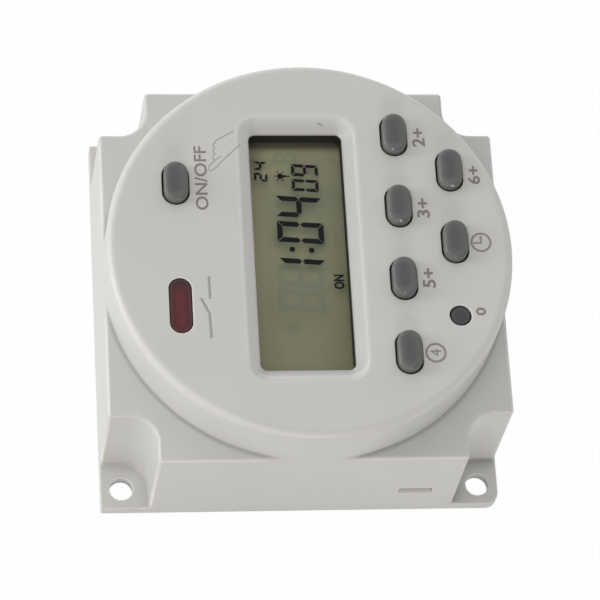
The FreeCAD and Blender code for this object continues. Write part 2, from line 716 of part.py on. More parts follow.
def add_catches(cover):
    """Two sprung arms that hook into the case's windows, and two tongues that enter the far wall."""
    arm_left = f"({CATCH_X} - catch_window_width / 2 + catch_gap)"
    arm_right = f"({CATCH_X} + catch_window_width / 2 - catch_gap)"
    outside = f"({INNER_HALF} - cover_gap)"
    window_high = "(catch_window_low + catch_window_height)"
    for side in ("-", ""):
        far, inner = f"({side}{outside})", f"({side}({outside} - catch_arm_thickness))"
        hook = f"({side}({outside} + catch_reach))"
        name = "near" if side else "far"
        add(cover, f"{name}_arm", "(cover_thickness / 2)", f"({window_high} + catch_arm_above)",
            rectangle(arm_left, arm_right, inner, far))
        add(cover, f"{name}_hook", "(catch_window_low + catch_gap / 2)", f"({window_high} - catch_gap)",
            rectangle(arm_left, arm_right, inner, hook))
    hook_top, hook_y = value(f"{window_high} - catch_gap"), value(f"{outside} + catch_reach")

    def is_hook_tip(edge):
        middle = edge.BoundBox.Center
        return near(middle.z, hook_top) and near(abs(middle.y), hook_y) and near(edge.BoundBox.YLength, 0)

    chamfer(cover, "hook_ramps", "catch_ramp", is_hook_tip)
    tongue_top = "(tongue_low + tongue_height)"
    root = f"({outside} - tongue_wall)"
    add(cover, "tongue_posts", "(cover_thickness / 2)", tongue_top, *tongue_profiles(outside, root, "0"))
    add(cover, "tongue_lips", "tongue_low", tongue_top,
        *tongue_profiles(f"({outside} + tongue_reach)", root, "0"))


# Keys, each with a flange that stops it behind its collar

def build_long_key(name, x, y):
    key = new_piece(name)
    add(key, "stem", FLANGE_LOW, KEY_TOP, slot(x, y, "key_width", "key_length"))
    top = value(KEY_TOP)
    fillet(key, "top_edge", "key_round", lambda edge: lies_at(edge, top))
    wide, long = [f"({side} + 2 * key_clearance + 2 * key_flange)" for side in ("key_width", "key_length")]
    add(key, "flange", FLANGE_LOW, FLANGE_TOP, slot(x, y, wide, long))
    hollow_key_top(key, x, y)
    return key


def hollow_key_top(key, x, y):
    """The shallow finger dish in a key's top: the lowest part of an ellipsoid, four dish depths tall."""
    dish = key.newObject("PartDesign::SubtractiveEllipsoid", f"{key.Name}_dish")
    tall = "(4 * key_dish_depth)"
    widening = "sqrt(1 - (3 / 4) ^ 2)"
    dish.setExpression("Radius1", formula(tall))
    dish.setExpression("Radius2", formula(f"(key_width / 2 - key_rim) / {widening}"))
    dish.setExpression("Radius3", formula(f"(key_length / 2 - key_rim) / {widening}"))
    dish.setExpression("AttachmentOffset.Base.x", formula(x))
    dish.setExpression("AttachmentOffset.Base.y", formula(y))
    dish.setExpression("AttachmentOffset.Base.z", formula(f"{KEY_TOP} - key_dish_depth + {tall}"))
    origin_plane = [feature for feature in key.Origin.OriginFeatures if feature.Role == "XY_Plane"][0]
    dish.AttachmentSupport = [(origin_plane, "")]
    dish.MapMode = "FlatFace"


def build_reset_key():
    key = new_piece("key_reset")
    add(key, "stem", FLANGE_LOW, RESET_TOP, circle(OUTER_COLUMN, RESET_Y, "reset_radius"))
    add(key, "flange", FLANGE_LOW, FLANGE_TOP,
        circle(OUTER_COLUMN, RESET_Y, "(reset_radius + reset_clearance + key_flange)"))
    top = value(RESET_TOP)
    fillet(key, "top_edge", "(key_round / 2)", lambda edge: lies_at(edge, top))
    return key


def add_domes(mat, places):
    """A hollow rubber dome under each key, with a puck inside that meets the board on a press."""
    dome_top = f"({MAT_TOP} + dome_height)"
    hollow_top = f"({dome_top} - dome_skin)"
    add(mat, "domes", MAT_TOP, dome_top, *circles(places, "dome_radius"), taper="-dome_slope")
    add(mat, "dome_heads", hollow_top, FLANGE_LOW, *circles(places, "puck_radius"))
    cut(mat, "hollows", f"({DISPLAY_TOP} - overcut)", hollow_top,
        *circles(places, "(dome_radius - dome_skin)"), taper="-hollow_slope")
    add(mat, "pucks", f"({DISPLAY_TOP} + key_travel)", f"({dome_top} - dome_skin / 2)",
        *circles(places, "puck_radius"))


def segment_plate(left, radius):
    """A circle about the origin, cut off straight on its left."""
    def draw(drawing):
        reach = math.sqrt(value(radius) ** 2 - value(left) ** 2)
        low, high = FreeCAD.Vector(value(left), -reach, 0), FreeCAD.Vector(value(left), reach, 0)
        arc = drawing.draw(Part.ArcOfCircle(whole_circle("0", "0", radius), math.atan2(low.y, low.x),
                                            math.atan2(high.y, high.x)))
        chord = drawing.draw(Part.LineSegment(high, low))
        drawing.join("Coincident", arc, 3, -1, 1)
        drawing.measure("Radius", arc, size=radius)
        drawing.join("Coincident", arc, 2, chord, 1)
        drawing.join("Coincident", chord, 2, arc, 1)
        drawing.join("Vertical", chord)
        drawing.measure("DistanceX", -1, 1, chord, 1, size=left)
    return draw


def build_key_mat():
    mat = new_piece("key_mat")
    left = f"({SCREEN_X} + {FRAME_HALF_X} + mat_frame_gap)"
    add(mat, "sheet", DISPLAY_TOP, MAT_TOP, segment_plate(left, MAT_RADIUS))
    cut(mat, "boss_clearances", f"({DISPLAY_TOP} - overcut)", f"({MAT_TOP} + overcut)",
        *circles(BOSSES[:2], "(boss_radius + mat_hole_gap)"))
    add_domes(mat, MAT_KEYS)
    return mat


def build_manual_mat():
    mat = new_piece("manual_key_mat")
    add(mat, "sheet", DISPLAY_TOP, MAT_TOP, circle(MANUAL_X, "manual_key_y", "manual_mat_radius"))
    add_domes(mat, [(MANUAL_X, "manual_key_y")])
    return mat


# Red indicator: the lens in the face and the lamp behind it

def build_indicator():
    lens = new_piece("indicator_lens")
    narrow, short = "(lens_width - 2 * lens_gap)", "(lens_length - 2 * lens_gap)"
    add(lens, "window", f"({FACE_UNDER} - lens_flange_thickness)", "(face_height - lens_gap)",
        slot(MANUAL_X, "lens_y", narrow, short))
    top = value("face_height - lens_gap")
    fillet(lens, "top_edge", "(4 * lens_gap)", lambda edge: lies_at(edge, top))
    add(lens, "flange", f"({FACE_UNDER} - lens_flange_thickness)", FACE_UNDER,
        slot(MANUAL_X, "lens_y", "(lens_width + 2 * lens_flange)", "(lens_length + 2 * lens_flange)"))
    lamp = new_piece("indicator_lamp")
    lamp_top = f"({FACE_UNDER} - lens_flange_thickness - lamp_headroom)"
    add(lamp, "bulb", DISPLAY_TOP, lamp_top, circle(MANUAL_X, "lens_y", "lamp_radius"))
    level = value(lamp_top)
    fillet(lamp, "dome", "lamp_round", lambda edge: lies_at(edge, level))
    add(lamp, "collar", DISPLAY_TOP, f"({DISPLAY_TOP} + lamp_collar_height)",
        circle(MANUAL_X, "lens_y", "(lamp_radius + lamp_collar_width)"))
    add(lamp, "leads", f"({DISPLAY_LOW} - tail_length)", f"({DISPLAY_TOP} + lead_overlap)",
        *circles(lamp_leads(), "lead_radius"))
    return [lens, lamp]


def lamp_leads():
    return [(MANUAL_X, f"(lens_y {sign} lamp_lead_spacing / 2)") for sign in ("-", "+")]


# Screen: a clear pane, two glass plates with the liquid crystal between them, and a reflector

def screen_plate(name, low, high, half_length):
    plate = new_piece(name)
    add(plate, "sheet", low, high, middle_rectangle(SCREEN_X, "0", GLASS_HALF_X, half_length))
    return plate


def build_screen():
    pane = screen_plate("screen_pane", PANE_LOW, PANE_TOP, GLASS_HALF_Y)
    upper = screen_plate("screen_upper_glass", UPPER_GLASS_LOW, PANE_LOW, GLASS_HALF_Y)
    lower = screen_plate("screen_lower_glass", LOWER_GLASS_LOW, UPPER_GLASS_LOW, LOWER_GLASS_HALF_Y)
    reflector = screen_plate("screen_reflector", REFLECTOR_LOW, LOWER_GLASS_LOW, LOWER_GLASS_HALF_Y)
    frame = new_piece("screen_frame")
    block = middle_rectangle(SCREEN_X, "0", FRAME_HALF_X, FRAME_HALF_Y)
    seat = middle_rectangle(SCREEN_X, "0", f"({GLASS_HALF_X} + frame_gap)", f"({GLASS_HALF_Y} + frame_gap)")
    add(frame, "block", DISPLAY_TOP, FACE_UNDER, block)
    cut(frame, "glass_seat", f"({DISPLAY_TOP} - overcut)", PANE_TOP, seat)
    cut(frame, "opening", f"({PANE_TOP} - overcut)", f"({FACE_UNDER} + overcut)", screen_edge())
    zebras = new_piece("zebra_strips")
    ledge_middle = f"({LOWER_GLASS_HALF_Y} + glass_ledge / 2)"
    strips = [middle_rectangle(SCREEN_X, y, GLASS_HALF_X, "zebra_width / 2")
              for y in (f"-{ledge_middle}", ledge_middle)]
    add(zebras, "strips", DISPLAY_TOP, UPPER_GLASS_LOW, *strips)
    return [pane, upper, lower, reflector, frame, zebras]


# Display board, with the small parts on its underside

def build_display_board():
    board = new_piece("display_board")
    add(board, "disc", DISPLAY_LOW, DISPLAY_TOP, circle("0", "0", DISPLAY_RADIUS))
    drilled = circles(BOSSES, "(screw_radius + screw_hole_gap)")
    drilled += circles(LINK_PINS, "(link_pin_radius + lead_gap)")
    drilled += circles(lamp_leads(), "(lead_radius + lead_gap)")
    cut(board, "holes", f"({DISPLAY_LOW} - overcut)", f"({DISPLAY_TOP} + overcut)", *drilled)
    return board


def build_board_parts():
    blob = new_piece("controller_blob")
    crown = f"({DISPLAY_LOW} - blob_height)"
    add(blob, "drop", crown, DISPLAY_LOW, circle("blob_x", "blob_y", "blob_radius"))
    crown_level = value(crown)
    fillet(blob, "crown", "blob_round", lambda edge: lies_at(edge, crown_level))
    crystal = new_piece("watch_crystal")
    add(crystal, "can", "(crystal_x - crystal_length / 2)", "(crystal_x + crystal_length / 2)",
        circle("crystal_y", f"({DISPLAY_LOW} - crystal_radius)", "crystal_radius"), plane="YZ_Plane")
    cell = new_piece("backup_cell")
    cell_top = f"({DISPLAY_LOW} - cell_tab_thickness)"
    add(cell, "can", f"({cell_top} - cell_height)", cell_top, circle("cell_x", CELL_Y, "cell_radius"))
    rim_low, rim_high = value(f"{cell_top} - cell_height"), value(cell_top)
    fillet(cell, "rims", "cell_round", lambda edge: lies_at(edge, rim_low) or lies_at(edge, rim_high))
    tab = new_piece("backup_cell_tab")
    add(tab, "strip", cell_top, DISPLAY_LOW,
        middle_rectangle("cell_x", CELL_Y, "cell_radius", "cell_tab_width / 2"))
    return [blob, crystal, cell, tab]


def screw_set(name, places, seat, side):
    """Identical pan-head screws with a plain slot. Side is 1 where the heads are above their seat."""
    screws = new_piece(name)
    head = f"({seat} + {side} * screw_head_height)"
    shank = f"({seat} - {side} * screw_length)"
    inside_head = f"({seat} + {side} * screw_head_height / 2)"
    slot_floor = f"({head} - {side} * screw_slot_depth)"
    beyond_head = f"({head} + {side} * overcut)"
    slots = [middle_rectangle(x, y, "screw_slot_half_length", "screw_slot_width / 2") for x, y in places]
    add(screws, "heads", *in_order(seat, head, side), *circles(places, "screw_head_radius"))
    add(screws, "shanks", *in_order(shank, inside_head, side), *circles(places, "screw_radius"))
    cut(screws, "slots", *in_order(slot_floor, beyond_head, side), *slots)
    return screws


def in_order(first, second, side):
    """The lower of two levels, then the higher one."""
    return (first, second) if side > 0 else (second, first)


def build_screws():
    display = screw_set("display_board_screws", BOSSES, DISPLAY_LOW, -1)
    power = screw_set("power_board_screws", POSTS, POWER_TOP, 1)
    return [display, power]


# Power board, with the relay, its supply and the wire terminals

def lying_leads(rows, x, reach):
    """Places of the two bent legs of each small part that lies along X."""
    return [(f"({x} {sign} {reach})", y) for y in rows for sign in ("-", "+")]


DIODE_LEADS = lying_leads(DIODE_ROWS, DIODE_X, "(diode_length / 2 + lead_bend)")
RESISTOR_LEADS = lying_leads(RESISTOR_ROWS, RESISTOR_X, "(resistor_length / 2 + lead_bend)")


def build_power_board():
    board = new_piece("power_board")
    add(board, "sheet", POWER_LOW, POWER_TOP,
        rectangle(POWER_LEFT, POWER_RIGHT, f"(-{POWER_HALF})", POWER_HALF))
    soldered = RELAY_PINS + FILM_PINS + CAN_PINS + VARISTOR_PINS + TRANSISTOR_PINS
    soldered += DIODE_LEADS + RESISTOR_LEADS
    drilled = circles(soldered, "(lead_radius + lead_gap)")
    drilled += circles(BLADE_LEGS, "(blade_thickness / 2 + lead_gap)")
    drilled += circles(LINK_PINS, "(link_pin_radius + lead_gap)")
    drilled += circles(POSTS, "(screw_radius + screw_hole_gap)")
    cut(board, "holes", f"({POWER_LOW} - overcut)", f"({POWER_TOP} + overcut)", *drilled)
    return board


def build_terminals():
    terminals = []
    tip = f"({BLADE_RIGHT} - blade_chamfer)"
    for number, y in enumerate(BLADES, start=1):
        blade = new_piece(f"wire_terminal_{number}")
        low, high = f"({y} - blade_width / 2)", f"({y} + blade_width / 2)"
        add(blade, "blade", POWER_TOP, BLADE_TOP,
            outline((BLADE_LEFT, low), (tip, low), (BLADE_RIGHT, f"({low} + blade_chamfer)"),
                    (BLADE_RIGHT, f"({high} - blade_chamfer)"), (tip, high), (BLADE_LEFT, high)))
        cut(blade, "eye", f"({POWER_TOP} - overcut)", f"({BLADE_TOP} + overcut)",
            circle(f"({BLADE_RIGHT} - blade_eye_inset)", y, "blade_eye_radius"))
        legs = BLADE_LEGS[2 * number - 2:2 * number]
        add(blade, "legs", TAIL_END, f"({POWER_TOP} + blade_thickness / 2)",
            *circles(legs, "(blade_thickness / 2)"))
        terminals.append(blade)
    return terminals


def build_relay():
    relay = new_piece("relay")
    relay_top = f"({DISPLAY_LOW} - relay_headroom)"
    add(relay, "cover", POWER_TOP, relay_top, rectangle(RELAY_LEFT, RELAY_RIGHT, RELAY_LOW_Y, RELAY_HIGH_Y))
    level = value(relay_top)
    fillet(relay, "cover_edges", "moulded_round", lambda edge: lies_at(edge, level))
    pins = new_piece("relay_pins")
    add(pins, "pins", TAIL_END, POWER_TOP, *circles(RELAY_PINS, "lead_radius"))
    return [relay, pins]


def build_capacitors():
    film = new_piece("film_capacitor")
    film_top = f"({DISPLAY_LOW} - film_capacitor_headroom)"
    add(film, "box", POWER_TOP, film_top, rectangle(FILM_LEFT, FILM_RIGHT, FILM_LOW_Y, FILM_HIGH_Y))
    level = value(film_top)
    fillet(film, "box_edges", "moulded_round", lambda edge: lies_at(edge, level))
    add(film, "leads", TAIL_END, f"({POWER_TOP} + lead_overlap)", *circles(FILM_PINS, "lead_radius"))
    can = new_piece("smoothing_capacitor")
    can_top = f"({DISPLAY_LOW} - can_headroom)"
    add(can, "can", POWER_TOP, can_top, circle(CAN_X, CAN_Y, "can_radius"))
    top_level = value(can_top)
    fillet(can, "can_edge", "moulded_round", lambda edge: lies_at(edge, top_level))
    add(can, "leads", TAIL_END, f"({POWER_TOP} + lead_overlap)", *circles(CAN_PINS, "lead_radius"))
    return [film, can]


def build_small_parts():
    varistor = new_piece("varistor")
    centre_z = f"({POWER_TOP} + varistor_radius + varistor_lift)"
    add(varistor, "disc", f"({VARISTOR_X} - varistor_thickness / 2)",
        f"({VARISTOR_X} + varistor_thickness / 2)",
        circle("varistor_y", centre_z, "varistor_radius"), plane="YZ_Plane")
    add(varistor, "leads", TAIL_END, centre_z, *circles(VARISTOR_PINS, "lead_radius"))
    transistor = new_piece("relay_transistor")
    body_low = f"({POWER_TOP} + transistor_lift)"
    add(transistor, "body", body_low, f"({body_low} + transistor_height)",
        circle(TRANSISTOR_X, TRANSISTOR_Y, "transistor_radius"))
    beyond = "(transistor_radius + overcut)"
    flat = rectangle(f"({TRANSISTOR_X} - {beyond})", f"({TRANSISTOR_X} + {beyond})",
                     f"({TRANSISTOR_Y} + transistor_flat)", f"({TRANSISTOR_Y} + {beyond})")
    cut(transistor, "flat", f"({body_low} - overcut)", f"({body_low} + transistor_height + overcut)", flat)
    add(transistor, "leads", TAIL_END, f"({body_low} + lead_overlap)",
        *circles(TRANSISTOR_PINS, "lead_radius"))
    diodes = lying_parts("rectifier_diodes", "diode", DIODE_X, DIODE_ROWS, DIODE_LEADS)
    resistors = lying_parts("resistors", "resistor", RESISTOR_X, RESISTOR_ROWS, RESISTOR_LEADS)
    return [varistor, transistor, diodes, resistors]


def lying_parts(name, kind, x, rows, leads):
    """Round parts that lie on the power board, with a straight lead through each and its bent legs."""
    parts = new_piece(name)
    length, radius = f"{kind}_length", f"{kind}_radius"
    axis = f"({POWER_TOP} + {radius})"
    add(parts, "bodies", f"({x} - {length} / 2)", f"({x} + {length} / 2)",
        *[circle(y, axis, radius) for y in rows], plane="YZ_Plane")
    reach = f"({length} / 2 + lead_bend + lead_radius)"
    add(parts, "wires", f"({x} - {reach})", f"({x} + {reach})",
        *[circle(y, axis, "lead_radius") for y in rows], plane="YZ_Plane")
    add(parts, "legs", TAIL_END, axis, *circles(leads, "lead_radius"))
    return parts


def build_link():
    """The row of long pins that joins the two boards."""
    base = new_piece("link_header")
    add(base, "block", POWER_TOP, f"({POWER_TOP} + link_base_height)",
        middle_rectangle(LINK_X, "0", "(link_base_width / 2)", "(2 * link_pitch)"))
    cut(base, "pin_holes", f"({POWER_TOP} - overcut)", f"({POWER_TOP} + link_base_height + overcut)",
        *circles(LINK_PINS, "link_pin_radius"))
    pins = new_piece("link_pins")
    add(pins, "pins", TAIL_END, f"({DISPLAY_TOP} + link_pin_proud)", *circles(LINK_PINS, "link_pin_radius"))
    return [base, pins]


def build_all():
    pieces = [build_front_case(), build_back_cover()]
    pieces += [build_long_key(name, x, y) for name, (x, y) in LONG_KEYS.items()]
    pieces += [build_reset_key(), build_key_mat(), build_manual_mat()]
    pieces += build_indicator() + build_screen()
    pieces += [build_display_board()] + build_board_parts()
    pieces += build_screws()
    pieces += [build_power_board()] + build_terminals()
    pieces += build_relay() + build_capacitors() + build_small_parts() + build_link()
    doc.recompute()
    return pieces


def check_document(pieces):
    """Stop if a feature failed, a cut removed nothing or a piece has no sound shape."""
    for item in doc.Objects:
        if "Invalid" in item.State or "Error" in item.State:
            raise RuntimeError(f"{item.Name} failed: {item.State}")
        removes = item.TypeId == "PartDesign::Pocket" or item.TypeId.startswith("PartDesign::Subtractive")
        if removes and item.Shape.Volume >= item.BaseFeature.Shape.Volume - 1e-6:
            raise RuntimeError(f"{item.Name} removes nothing")
    for piece in pieces:
        if piece.Shape.isNull() or not piece.Shape.isValid():
            raise RuntimeError(f"{piece.Label} has no sound shape")


pieces = build_all()
check_document(pieces)
os.makedirs("parts", exist_ok=True)
for piece in pieces:
    piece.Shape.exportStep(f"parts/{piece.Label}.step")
print(len(pieces), "pieces written")
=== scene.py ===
# %% [markdown]
# # A digital timer switch, dressed for its portrait
# The object is a panel timer for a mains circuit: a square light grey case of
# moulded plastic, a round raised face with a liquid crystal screen, eight keys and
# a red lamp lens, and five push-on blades in a bay at one side. Its construction
# comes ready made from CAD. This lesson gives every surface its finish, adds what
# is printed on the face and shown on the screen, and lights it as in the photograph.

import json
from math import cos, pi, radians, sin, tan

import bmesh
import bpy
from mathutils import Matrix, Vector

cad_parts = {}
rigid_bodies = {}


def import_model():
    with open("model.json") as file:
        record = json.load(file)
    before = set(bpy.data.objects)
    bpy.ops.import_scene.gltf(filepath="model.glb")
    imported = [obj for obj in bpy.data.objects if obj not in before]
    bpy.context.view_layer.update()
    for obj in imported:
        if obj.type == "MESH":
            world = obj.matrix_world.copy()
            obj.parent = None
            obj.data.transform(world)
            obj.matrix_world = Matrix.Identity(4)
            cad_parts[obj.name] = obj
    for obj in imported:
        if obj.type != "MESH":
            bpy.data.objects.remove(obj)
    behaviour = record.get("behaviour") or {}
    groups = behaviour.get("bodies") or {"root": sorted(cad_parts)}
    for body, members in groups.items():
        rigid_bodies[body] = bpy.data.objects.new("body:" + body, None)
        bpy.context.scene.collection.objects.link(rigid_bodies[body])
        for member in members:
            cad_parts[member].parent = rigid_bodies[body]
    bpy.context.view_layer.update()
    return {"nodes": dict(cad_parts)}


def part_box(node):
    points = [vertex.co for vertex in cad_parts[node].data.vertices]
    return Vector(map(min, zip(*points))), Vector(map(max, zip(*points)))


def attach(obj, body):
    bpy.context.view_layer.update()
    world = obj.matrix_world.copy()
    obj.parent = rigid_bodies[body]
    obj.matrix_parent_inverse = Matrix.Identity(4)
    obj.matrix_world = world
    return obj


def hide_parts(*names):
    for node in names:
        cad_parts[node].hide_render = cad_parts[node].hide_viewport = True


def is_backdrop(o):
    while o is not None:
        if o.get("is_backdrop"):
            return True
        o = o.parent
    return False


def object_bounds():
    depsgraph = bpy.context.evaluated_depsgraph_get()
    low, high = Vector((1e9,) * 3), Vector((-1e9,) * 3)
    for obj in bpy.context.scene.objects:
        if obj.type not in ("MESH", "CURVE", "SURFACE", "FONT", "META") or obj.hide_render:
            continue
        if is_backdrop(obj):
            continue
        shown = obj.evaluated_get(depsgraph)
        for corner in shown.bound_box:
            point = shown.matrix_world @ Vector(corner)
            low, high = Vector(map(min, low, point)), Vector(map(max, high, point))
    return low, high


for leftover in list(bpy.data.objects):
    bpy.data.objects.remove(leftover)
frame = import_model()
NODES = frame["nodes"]
MM = 0.001


def middle_of(node):
    """The middle of a node's box, in millimetres."""
    low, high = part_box(node)
    return [(low[i] + high[i]) / 2 / MM for i in range(3)]


# %% [markdown]
# ## The camera
# The camera stands where the photographer stood: above the face, nearer to the
# case's front wall and a little to the left, half a metre away with a long lens.
# A long lens from far off keeps the round face nearly a true ellipse, which a wide
# lens close up would swell. Its place and turns were worked out from the corners of
# the base and the outline of the round face in the photograph.

# %% Where the camera stands
PHOTO_WIDTH, LENS_IN_PIXELS, SENSOR = 600, 3316.33, 36.0
camera_place = Vector((-61.580, -197.886, 465.932)) * MM
bpy.ops.object.camera_add(location=camera_place)
camera = bpy.context.object
camera.name = "portrait_camera"
camera.rotation_mode = "ZYX"
camera.rotation_euler = (radians(23.4768), radians(-7.1284), radians(-0.3753))
camera.data.sensor_width = SENSOR
camera.data.lens = LENS_IN_PIXELS / PHOTO_WIDTH * SENSOR
bpy.context.scene.camera = camera
print("camera distance in mm:", round(camera_place.length / MM, 1), "lens:", round(camera.data.lens, 1))

# %% [markdown]
# ## Shader sums as plain arithmetic
# A finish is a sum of masks and noises, and a long row of Math nodes hides that
# sum. So one small class holds a socket and answers to +, -, * and powers, each of
# which adds its Math node, and a second class holds the material and can add any
# other node by its type. A mask is 1 where something is and 0 where it isn't, and
# above, below and within make one from a distance.

# %% A socket that can be added and multiplied
class Varying:
    """A value that varies over a surface: one output socket of a finish."""

    def __init__(self, finish, socket):
        self.finish = finish
        self.socket = socket

    def _sum(self, operation, first, second):
        return self.finish.node("ShaderNodeMath", {"operation": operation}, {0: first, 1: second})

    def __add__(self, other):
        return self._sum("ADD", self, other)

    __radd__ = __add__

    def __mul__(self, other):
        return self._sum("MULTIPLY", self, other)

    __rmul__ = __mul__

    def __sub__(self, other):
        return self._sum("SUBTRACT", self, other)

    def __rsub__(self, other):
        return self._sum("SUBTRACT", other, self)

    def __pow__(self, other):
        return self._sum("POWER", self, other)

    def __abs__(self):
        return self._sum("ABSOLUTE", self, 0.0)

    def least(self, other):
        return self._sum("MINIMUM", self, other)

    def most(self, other):
        return self._sum("MAXIMUM", self, other)

    def above(self, edge, softness):
        """0 under the edge and 1 over it, with a ramp of that width between."""
        ramp = {"From Min": edge - softness / 2, "From Max": edge + softness / 2}
        return self.finish.node("ShaderNodeMapRange", {"clamp": True}, {"Value": self, **ramp})

    def below(self, edge, softness):
        """1 under the edge and 0 over it."""
        return 1.0 - self.above(edge, softness)

    def within(self, reach, softness):
        """1 where the value is less than reach away from 0, and 0 further off."""
        return abs(self).below(reach, softness)


print("a varying value answers to:", [name for name in vars(Varying) if name[0] != "_"])

# %% [markdown]
# ## A finish
# Every finish of the object is one Principled shader. Its constants are typed straight
# into the shader's sockets. Only what changes over the surface is linked, and that
# is the colour, the roughness, the see-through share and the normal, because those
# can be baked to images for other programs. A finish that is ready is filed under
# its name, which is also the name of a material slot in the CAD model.

# %% A material under construction
MIX_FIRST, MIX_SECOND, MIX_RESULT = 6, 7, 2
EDGE_TURN, EDGE_SOFT = 0.07, 0.12
FINISHES = {}


def linear(channel):
    """A channel as a photograph stores it, from 0 to 255, as light."""
    share = channel / 255
    return share / 12.92 if share <= 0.04045 else ((share + 0.055) / 1.055) ** 2.4


def colour(red, green, blue):
    return (linear(red), linear(green), linear(blue), 1.0)


def toned(base, times=1.0, plus=0):
    """A colour made lighter or darker."""
    return colour(*[min(255, max(0, channel * times + plus)) for channel in base])


class Finish:
    """The nodes of a new material, or of the world, and its one shader."""

    def __init__(self, name, family="materials", shader="Principled BSDF"):
        self.name = name
        self.material = getattr(bpy.data, family).new(name)
        self.material.use_nodes = True
        self.tree = self.material.node_tree
        self.shader = self.tree.nodes[shader]

    def put(self, value, socket):
        """Links a varying value to a socket, or types a constant into it."""
        if isinstance(value, Varying):
            self.tree.links.new(value.socket, socket)
        else:
            socket.default_value = value

    def node(self, kind, settings=None, sockets=None, output=0):
        """Adds a node of that type: its settings first, then its sockets."""
        made = self.tree.nodes.new(kind)
        for name, value in (settings or {}).items():
            setattr(made, name, value)
        for name, value in (sockets or {}).items():
            self.put(value, made.inputs[name])
        return Varying(self, made.outputs[output])

    def place(self):
        """The point of the surface, in the object's own metres."""
        return self.node("ShaderNodeTexCoord", output="Object")

    def along(self, axis):
        """One coordinate of that point, in millimetres."""
        return self.node("ShaderNodeSeparateXYZ", sockets={0: self.place()}, output=axis) * 1000.0

    def noise(self, size, detail=3.0):
        """Noise from 0 to 1 whose lumps are about this many millimetres across."""
        sockets = {"Vector": self.place(), "Scale": 1000.0 / size, "Detail": detail}
        return self.node("ShaderNodeTexNoise", {}, sockets)

    def blend(self, share, first, second):
        """One colour going over into another."""
        sockets = {0: share, MIX_FIRST: first, MIX_SECOND: second}
        return self.node("ShaderNodeMix", {"data_type": "RGBA"}, sockets, MIX_RESULT)

    def bump(self, height, depth, over=None):
        """A relief this many millimetres deep, over a rounded or another normal."""
        sockets = {"Height": height, "Distance": depth * MM}
        if over is not None:
            sockets["Normal"] = over
        return self.node("ShaderNodeBump", {}, sockets)

    def ray(self, kind):
        """1 for a ray of light of that kind, and 0 for any other."""
        return self.node("ShaderNodeLightPath", output="Is " + kind + " Ray")

    def rounded(self, radius):
        """The normal as if every edge were rounded to this radius."""
        return self.node("ShaderNodeBevel", {"samples": 6}, {"Radius": radius * MM})

    def at_edges(self, radius):
        """1 on an edge and 0 on a flat, from how far rounding turns the normal."""
        plain = self.node("ShaderNodeNewGeometry", output="Normal")
        straight = {0: self.rounded(radius), 1: plain}
        facing = self.node("ShaderNodeVectorMath", {"operation": "DOT_PRODUCT"}, straight, "Value")
        return (1.0 - facing).above(EDGE_TURN, EDGE_SOFT)

    def surface(self, **sockets):
        """Fills the shader's sockets, spaces written as underscores, and files the finish."""
        for name, value in sockets.items():
            self.put(value, self.shader.inputs[name.replace("_", " ")])
        FINISHES[self.name] = self.material
        return self.material


print("a mid grey of 128 is", round(linear(128), 3), "as light")

# %% [markdown]
# ## Moulded plastic
# The case is injection moulded in a warm light grey. Such plastic isn't one flat
# colour: its tone drifts a little where the melt flowed, the mould's spark-eroded
# skin leaves a very fine grain, thick places sink by hundredths of a millimetre,
# and every edge has a small radius that catches the light. The grain and the sinks
# are relief and the drift is colour. The edges are shaded by a rounded normal, and
# where it turns from the true one a warm lighter colour is painted as a highlight.

# %% A moulded finish
WARM = (1.0, 0.93, 0.8)
GRAIN, SINK, SCRATCH_DEEP = 0.012, 0.02, 0.06
DUST_AND_SHADE_TONE, DUST_AND_SHADE_SHARE = 0.72, 0.45
EDGE_REACH, EDGE_SHARE = 1.25, 0.9


def moulded(name, base, drift=5, gloss=0.42, edge=0.18, edge_light=12, marks=None):
    """A moulded plastic: base is its colour, the rest its drift, gloss and edges.

    marks takes the finish and returns its dust and painted shade, its painted light, and perhaps relief and
    radius.
    """
    made = Finish(name)
    wear_and_highlight = colour(*[min(255, channel + edge_light * share) for channel, share in zip(base, WARM)])
    flow = made.noise(14.0, detail=2.0).above(0.5, 0.5)
    tone = made.blend(flow, toned(base, plus=-drift), toned(base, plus=drift))
    own = marks(made) if marks else {}
    # A painted highlight: a lighter colour on edges and where the marks paint light, less where they paint
    # shade or dust.
    lit = made.at_edges(edge * EDGE_REACH) * EDGE_SHARE
    if marks:
        lit = lit.most(own["painted_light"]) * (1.0 - own["dust_and_shade"])
    tone = made.blend(lit, tone, wear_and_highlight)
    # Dust and painted shade make the colour darker.
    if marks:
        tone = made.blend(own["dust_and_shade"] * DUST_AND_SHADE_SHARE, tone, toned(base, DUST_AND_SHADE_TONE))
    normal = made.bump(made.noise(6.0, detail=1.0), SINK, over=made.rounded(own.get("radius", edge)))
    normal = made.bump(made.noise(0.16, detail=2.0), GRAIN, over=normal)
    if "relief" in own:
        normal = made.bump(own["relief"], SCRATCH_DEEP, over=normal)
    sheen = gloss - 0.05 + made.noise(3.0) * 0.1
    return made.surface(Base_Color=tone, Roughness=sheen, Normal=normal)


moulded("relay_plastic", (44, 62, 96), drift=4, gloss=0.3)
moulded("yellow_box_plastic", (203, 158, 44), drift=6, gloss=0.35)
moulded("header_plastic", (30, 30, 31), drift=3, gloss=0.5)
print("plain plastics:", list(FINISHES))

# %% [markdown]
# ## The slope round the screen
# The screen lies in a window whose rim slopes down to it. The slope is painted
# darker as shade low down at its ends and along its right side, and lighter as a
# painted highlight along its left side and its upper edge. The slope is a plain
# shape, a rectangle with round corners. So one distance, the gap to that outline,
# says where a point of it is, and masks on the gap and on the height place the marks.

# %% Marks on the slope
WINDOW_X, WINDOW_WIDE, WINDOW_LONG = -1.25, 6.95, 18.9
SLOPE_WIDE, SLOPE_LONG, SLOPE_CORNER, SLOPE_DEEP = 1.7, 2.25, 3.0, 1.6
FACE_HEIGHT = 29.8
AT_SIDE, AT_END, CRISP = WINDOW_WIDE - 0.05, WINDOW_LONG - 0.05, 0.1


